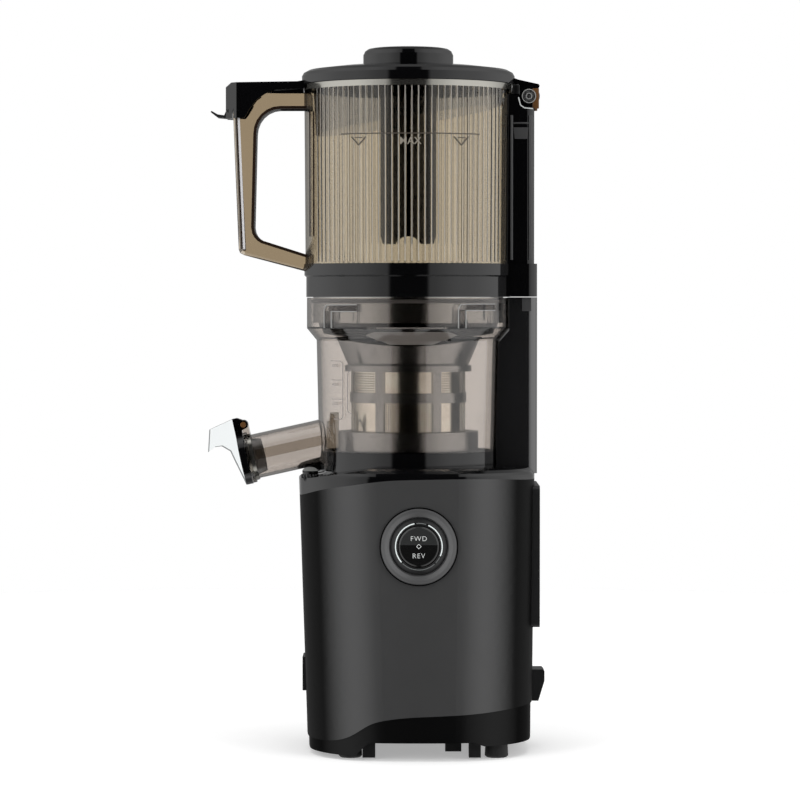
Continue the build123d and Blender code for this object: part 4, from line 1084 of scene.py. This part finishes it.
def make_scale():
    """Bordered scale on the drum with its numbers."""
    lines = [(points, scale_line) for points in scale_borders]
    drawn("scale_lines", scale_grey, "drum", on_drum, lines, scale_lift, 0.3)
    for text, z in scale_numbers:
        bm = word(text, number_high, 0.004, 1.0, number_depth)
        for v in bm.verts:
            v.co = on_drum(v.co.x + number_x, v.co.z + z, number_lift - v.co.y)
        piece("scale_" + text, bm, [scale_grey], "drum")


lip_profile = [(52.5, 287.5), (52.0, 285.7), (58.6, 287.0), (59.4, 289.8)]
plate_low, plate_waist, plate_high = 279.4, 286.6, 290.0
half_low, half_waist, half_high = 14.5, 31.0, 20.5      # half widths of the plate there
plate_x = 2.0
plate_r = 59.4
plate_crown = 1.6
plate_t = 0.8
seal_in, seal_out = 50.2, 50.9
seal_low, seal_high = 283.9, 284.4
seal_drop = 5.4


def make_funnel_lip():
    """Black lip under the jug's funnel."""
    bm = bmesh.new()
    drive_axis_ring(bm, lip_profile)
    piece("funnel_lip", bm, [deep_black], "hopper")


def make_funnel_plate():
    """Pale six-sided plate in front of the strainer's mouth."""
    bm = bmesh.new()
    high = plate_high - plate_low
    made = bmesh.ops.create_grid(bm, x_segments=24, y_segments=12, size=0.5)["verts"]
    for v in made:
        z = plate_low + high * (v.co.y + 0.5)
        if z > plate_waist:
            share = (z - plate_waist) / (plate_high - plate_waist)
            half = half_waist + (half_high - half_waist) * share
        else:
            share = (z - plate_low) / (plate_waist - plate_low)
            half = half_low + (half_waist - half_low) * share
        x = plate_x + 2 * half * v.co.x
        r = plate_r - plate_crown * abs(z - plate_waist) / high
        v.co = Vector((x, -sqrt(r * r - x * x), z))
    give_depth(bm, plate_t)
    piece("funnel_plate", bm, [funnel_grey], "hopper")


def make_mouth_seal():
    """Dark seal round the strainer's mouth, deeper at the front and the back."""
    bm = bmesh.new()
    drive_axis_ring(bm, [(seal_in, seal_low), (seal_out, seal_low), (seal_out, seal_high),
                         (seal_in, seal_high)])
    for v in bm.verts:
        if v.co.z < (seal_low + seal_high) / 2:
            v.co.z -= seal_drop * (v.co.y / seal_in) ** 2
    piece("mouth_seal", bm, [deep_black], "drum")


# ---------------------------------------------------------------- spout and its cap
spout_tilt = radians(12.5)
spout_z = 225.0                # its axis at the drive axis
spout_r = 15.3
spout_end = 113.2
band_from, band_to = 58.5, 107.0      # along the axis
band_rise, band_wide = 1.5, 6.8
ring_from, ring_to = 108.4, 112.8
ring_rise = ((ring_from, 0.1), (ring_to, 0.1), (ring_to, 1.3), (ring_from, 0.9))     # over the spout
pin_s, pin_rise = spout_end - 1.8, 23.3
pin_head_r, pin_head_t = 2.1, 0.9
pin_taper = 0.3
pin_reach = 8.4


def along_spout(s, rise):
    """Place s along the spout's axis and rise above it, in the plane y = 0."""
    return Vector((-s * cos(spout_tilt) - rise * sin(spout_tilt), 0,
                   spout_z - s * sin(spout_tilt) + rise * cos(spout_tilt)))


def on_spout(s, rise, lift):
    r = spout_r + lift
    return along_spout(s, rise) + Vector((0, -sqrt(r * r - rise * rise), 0))


def make_spout_band():
    """Painted dark reflection along the middle of the spout, as a strip of deeper tint."""
    lines = [([(band_from, band_rise), (band_to, band_rise)], band_wide)]
    drawn("spout_band", spout_reflection_tint, "drum", on_spout, lines, 0.5, 0.3)


def make_spout_ring():
    """Bright ring at the spout's end."""
    bm = bmesh.new()
    profile = [along_spout(s, spout_r + lift) for s, lift in ring_rise]
    turned_ring(bm, profile, along_spout(0, 0), along_spout(1, 0) - along_spout(0, 0), 64)
    tidy_faces(bm)
    piece("spout_ring", bm, [collar_sheen], "drum")


def make_cap_pin_heads():
    """Brown heads at both ends of the pin that the cap swings on."""
    bm = bmesh.new()
    for side in (1, -1):
        made = bmesh.ops.create_cone(bm, cap_ends=True, segments=24, radius1=pin_head_r,
                                     radius2=pin_head_r - pin_taper, depth=pin_head_t)["verts"]
        outward = Matrix.Rotation(radians(side * 90), 3, "X")
        bmesh.ops.rotate(bm, verts=made, cent=(0, 0, 0), matrix=outward)
        bmesh.ops.translate(bm, verts=made, vec=along_spout(pin_s, pin_rise)
                            + Vector((0, -side * pin_reach, 0)))
    bmesh.ops.recalc_face_normals(bm, faces=bm.faces)
    piece("cap_pin_heads", bm, [hinge_brown], "juice_cap")


# ---------------------------------------------------------------- deck button, spine and hinge
button_x, button_y = -67.4, -22.0
button_r, button_high = 5.3, 1.4
button_z = 192.2
button_tilt = radians(27)
teeth_x = button_x + 0.2
teeth_low, teeth_high = 184.5, 190.4
tooth_in, tooth_out = 5.0, 6.3
tooth_count = 16


def make_deck_button():
    """Tilted round lug on the deck's left, and the ring of teeth below it."""
    bm = bmesh.new()
    bmesh.ops.create_cone(bm, cap_ends=True, segments=48, radius1=button_r, radius2=button_r,
                          depth=button_high)
    round_off(bm, [e for e in bm.edges if all(v.co.z > 0 for v in e.verts)], 0.4)
    bmesh.ops.rotate(bm, verts=bm.verts, cent=(0, 0, 0), matrix=Matrix.Rotation(button_tilt, 3, "X"))
    bmesh.ops.translate(bm, verts=bm.verts, vec=(button_x, button_y, button_z))
    piece("deck_button", bm, [lug_grey], "base")
    bm = bmesh.new()
    block(bm, (tooth_in, -0.5, teeth_low), (tooth_out, 0.5, teeth_high), soften=0.2)
    copies = tooth_count - 1
    bmesh.ops.spin(bm, geom=list(bm.faces), cent=(0, 0, 0), axis=(0, 0, 1),
                   angle=2 * pi * copies / tooth_count, steps=copies, use_duplicate=True)
    bmesh.ops.translate(bm, verts=bm.verts, vec=(teeth_x, button_y, 0))
    piece("deck_button_teeth", bm, [facet_grey], "base")


rail_x = ((69.9, 71.6), (82.6, 84.8))        # the two rails of a face, a painted highlight on the spine's edges, from and to
rail_low, rail_high = 337, 436
facet_x = (71.9, 82.3)
facet_low, facet_high = 419.8, 427.6
lintel_low, lintel_high = 430.0, 431.2
cheek_x = (71.3, 76.2)
cheek_low, cheek_high = spine_high.z - 1.0, jug_top - 0.7
cheek_out = 14.4
trim_proud, trim_sunk = 0.8, 0.6
facet_slope = 0.9              # how far the facet's foot is drawn in


def make_spine_trim():
    """Rails and facets on both faces of the spine, and the cheeks between it and the hinge. The rails and
    the lintels over the facets are a painted highlight on the spine's edges, and the facets' lighter grey a
    painted reflection.
    """
    face = spine_hw
    rails = bmesh.new()
    facets = bmesh.new()
    cheeks = bmesh.new()
    for side in (1, -1):
        lo, hi = sorted((side * (face - trim_sunk), side * (face + trim_proud)))
        for left, right in rail_x:
            block(rails, (left, lo, rail_low), (right, hi, rail_high), soften=0.3)
        # lintel: painted highlight on the edge over the facet
        block(facets, (facet_x[0], lo, lintel_low), (facet_x[1], hi, lintel_high), soften=0.3)
        # facet: a tilted face whose lighter grey is a painted reflection
        wedge = block(facets, (facet_x[0], lo, facet_low), (facet_x[1], hi, facet_high))
        for v in wedge:
            if v.co.z < facet_high - 1:
                v.co.x += facet_slope if v.co.x < sum(facet_x) / 2 else -facet_slope
                if abs(v.co.y) > face:
                    v.co.y = side * (face + 0.1)
        lo, hi = sorted((side * cheek_out, side * face))
        block(cheeks, (cheek_x[0], lo, cheek_low), (cheek_x[1], hi, cheek_high), soften=0.5)
    for bm in (rails, facets, cheeks):
        bmesh.ops.recalc_face_normals(bm, faces=bm.faces)
    piece("spine_edge_highlights", rails, [spine_edge_highlight], "hopper")
    piece("spine_facets", facets, [facet_grey], "hopper")
    piece("hinge_cheeks", cheeks, [cheek_black], "hopper")


# places about the pin: across from the middle plane, along and up from the pin
ear_in, ear_out = 13.9, 15.0
ear_x = (2.4, 6.9)
ear_z = (-8.6, 5.4)
ring_in, ring_out = 15.2, 15.9
ring_radii = ((4.3, 4.9), (1.7, 2.2))
# painted highlight along the edge of the hinge's seat, about the pin
seat_line = ((-7.4, -1.0), (-6.0, -6.4), (-3.4, -8.3), (2.6, -8.9))
seat_line_width = 0.7


def by_hinge(along, up, lift):
    """Point on the spine's front face at a place about the hinge's pin."""
    return Vector((hinge_at.x + along, -spine_hw - lift, hinge_at.z + up))


def make_hinge_trim():
    """Brown ears, bright rings round the pin's heads and a painted highlight along the edge of the hinge's
    seat.
    """
    x, z = hinge_at.x, hinge_at.z
    ears = bmesh.new()
    rings = bmesh.new()
    for side in (1, -1):
        lo, hi = sorted((side * ear_in, side * ear_out))
        block(ears, (x + ear_x[0], lo, z + ear_z[0]), (x + ear_x[1], hi, z + ear_z[1]), soften=0.5)
        for inner, outer in ring_radii:
            profile = [(x + inner, side * ring_in, z), (x + outer, side * ring_in, z),
                       (x + outer, side * ring_out, z), (x + inner, side * ring_out, z)]
            turned_ring(rings, profile, (x, 0, z), (0, 1, 0), 32)
    tidy_faces(ears)
    tidy_faces(rings)
    piece("hinge_ears", ears, [hinge_brown], "hopper")
    piece("hinge_rings", rings, [ring_grey], "hopper")
    drawn("hinge_seat_line", seat_edge_highlight, "hopper", by_hinge,
          [(seat_line, seat_line_width)], 0.35, 0.3)


# ---------------------------------------------------------------- strainer screen
screen_r = 37.6
sheet_t = 0.25
window_count = 6
window_rows = ((217.4, 240.2, 1.3, 0.62), (245.2, 261.6, 1.6, 0.72))    # foot, head, pitch, hole
plain_steps = 40               # across a window without holes


def make_screen():
    """Rolled steel screen: perforated and plain windows take turns around it."""
    bm = bmesh.new()
    width = 2 * pi / window_count * screen_r
    for row, (foot, head, pitch, hole) in enumerate(window_rows):
        for window in range(window_count):
            pierced = (window + row) % 2 == 0
            across = round(width / pitch) if pierced else plain_steps
            rows = round((head - foot) / pitch) if pierced else 1
            made = bmesh.ops.create_grid(bm, x_segments=across, y_segments=rows, size=0.5)["verts"]
            cells = list({f for v in made for f in v.link_faces})
            for v in made:
                turn = radians(270 + 360 * window / window_count) + v.co.x * width / screen_r
                z = (foot + head) / 2 + v.co.y * (head - foot)
                v.co = Vector((screen_r * cos(turn), screen_r * sin(turn), z))
            if pierced:
                bm.normal_update()
                bmesh.ops.inset_individual(bm, faces=cells, thickness=(pitch - hole) / 2)
                bmesh.ops.delete(bm, geom=cells, context="FACES_ONLY")
    bmesh.ops.remove_doubles(bm, verts=bm.verts, dist=0.01)
    bmesh.ops.recalc_face_normals(bm, faces=bm.faces)
    made = piece("perforated_screen", bm, [screen], "drum", ["strainer_mesh"])
    made.data.shade_flat()
    sheet = made.modifiers.new("sheet", "SOLIDIFY")
    sheet.thickness = sheet_t * MM
    sheet.offset = 0


# ---------------------------------------------------------------- switch
# painted reflection on the ring round the rocker: bright arcs of painted highlight, dark arcs of painted
# dark reflection
highlight_arcs = ((101, 222), (-24, 66))           # degrees, counter-clockwise from the right
dark_reflection_arcs = ((226, 312), (316, 333), (72, 96))
arc_step = 4
highlight_radii, dark_reflection_radii = (15.25, 15.95), (15.35, 15.9)
arc_depth = 1.0
arc_sunk = 0.1
legend = (("FWD", 5.4), ("REV", -6.1))       # word and its height over the switch's middle
legend_x = switch_mid.x - 0.1
legend_high = 3.1
legend_depth = 0.35
legend_root = 0.05             # in front of the rocker's middle
diamond_r, diamond_line = 1.75, 0.42
diamond_root, diamond_rise = 0.1, 0.1
upright = Matrix.Rotation(radians(90), 3, "X")
gap_profile = ((25.6, 0.02), (26.3, 0.02), (26.3, 0.8), (25.6, 0.8))    # radius and depth of the black ring, painted shade in the bezel's gap


def arc(bm, inner, outer, depth, start, end):
    """Part of a ring on the switch's face, from start to end degrees, counter-clockwise."""
    verts, edges = chain(bm, [(inner, 0, 0), (outer, 0, 0), (outer, depth, 0), (inner, depth, 0)], True)
    face = bm.faces.new(verts)
    bmesh.ops.rotate(bm, verts=verts, cent=(0, 0, 0), matrix=Matrix.Rotation(-radians(start), 3, "Y"))
    bmesh.ops.spin(bm, geom=[face], cent=(0, 0, 0), axis=(0, -1, 0), angle=radians(end - start),
                   steps=max(2, round((end - start) / arc_step)))


def make_ring_reflections():
    """Ring round the rocker with painted reflections: bright arcs of painted highlight that glow faintly,
    and dark arcs of painted dark reflection.
    """
    bm = bmesh.new()
    for start, end in highlight_arcs:
        arc(bm, *highlight_radii, arc_depth, start, end)
    # faces made so far are the painted highlight, the rest the painted dark reflection
    lit = len(bm.faces)
    for start, end in dark_reflection_arcs:
        arc(bm, *dark_reflection_radii, arc_depth, start, end)
    for k, f in enumerate(bm.faces):
        f.material_index = 0 if k < lit else 1
    bmesh.ops.recalc_face_normals(bm, faces=bm.faces)
    bmesh.ops.translate(bm, verts=bm.verts, vec=(switch_mid.x, switch_face + arc_sunk, switch_mid.z))
    piece("ring_painted_reflections", bm, [ring_highlight, ring_dark_reflection], "base", ["switch_ring"])


def make_switch_legend():
    """Raised words and the diamond between them, on the rocker."""
    for text, rise in legend:
        bm = word(text, legend_high, -0.012, 1.16, legend_depth)
        at = (legend_x, switch_face - legend_root, switch_mid.z + rise)
        bmesh.ops.translate(bm, verts=bm.verts, vec=at)
        piece("switch_" + text.lower(), bm, [legend_white], "rocker")
    bm = bmesh.new()
    bmesh.ops.create_circle(bm, cap_ends=True, segments=4, radius=diamond_r)
    bmesh.ops.rotate(bm, verts=bm.verts, cent=(0, 0, 0), matrix=upright)
    bm.normal_update()
    rim = bmesh.ops.inset_individual(bm, faces=list(bm.faces), thickness=diamond_line)["faces"]
    bmesh.ops.delete(bm, geom=[f for f in bm.faces if f not in rim], context="FACES")
    push_out(bm, (0, -legend_depth, 0))
    at = (switch_mid.x, switch_face - diamond_root, switch_mid.z + diamond_rise)
    bmesh.ops.translate(bm, verts=bm.verts, vec=at)
    piece("switch_diamond", bm, [legend_white], "rocker")


def make_bezel_gap():
    """Painted shade in the gap between the bezel and the casing: a black ring set into it."""
    x, z = switch_mid.x, switch_mid.z
    bm = bmesh.new()
    profile = [(x + r, bezel_face + d, z) for r, d in gap_profile]
    turned_ring(bm, profile, (x, 0, z), (0, 1, 0))
    tidy_faces(bm)
    piece("bezel_gap", bm, [deep_black], "base")


make_camera()
make_world()
make_lamps()
make_floor()
finish_cad_nodes()
make_jug_wall()
make_handle()
make_grip_liner()
make_handle_lines()
make_handle_pad()
make_jug_marks()
make_jug_seams()
make_max_word()
make_lock_ribs()
make_scale()
make_funnel_lip()
make_funnel_plate()
make_mouth_seal()
make_spout_band()
make_spout_ring()
make_cap_pin_heads()
make_deck_button()
make_spine_trim()
make_hinge_trim()
make_screen()
make_ring_reflections()
make_switch_legend()
make_bezel_gap()
bpy.context.scene.view_settings.view_transform = "Standard"
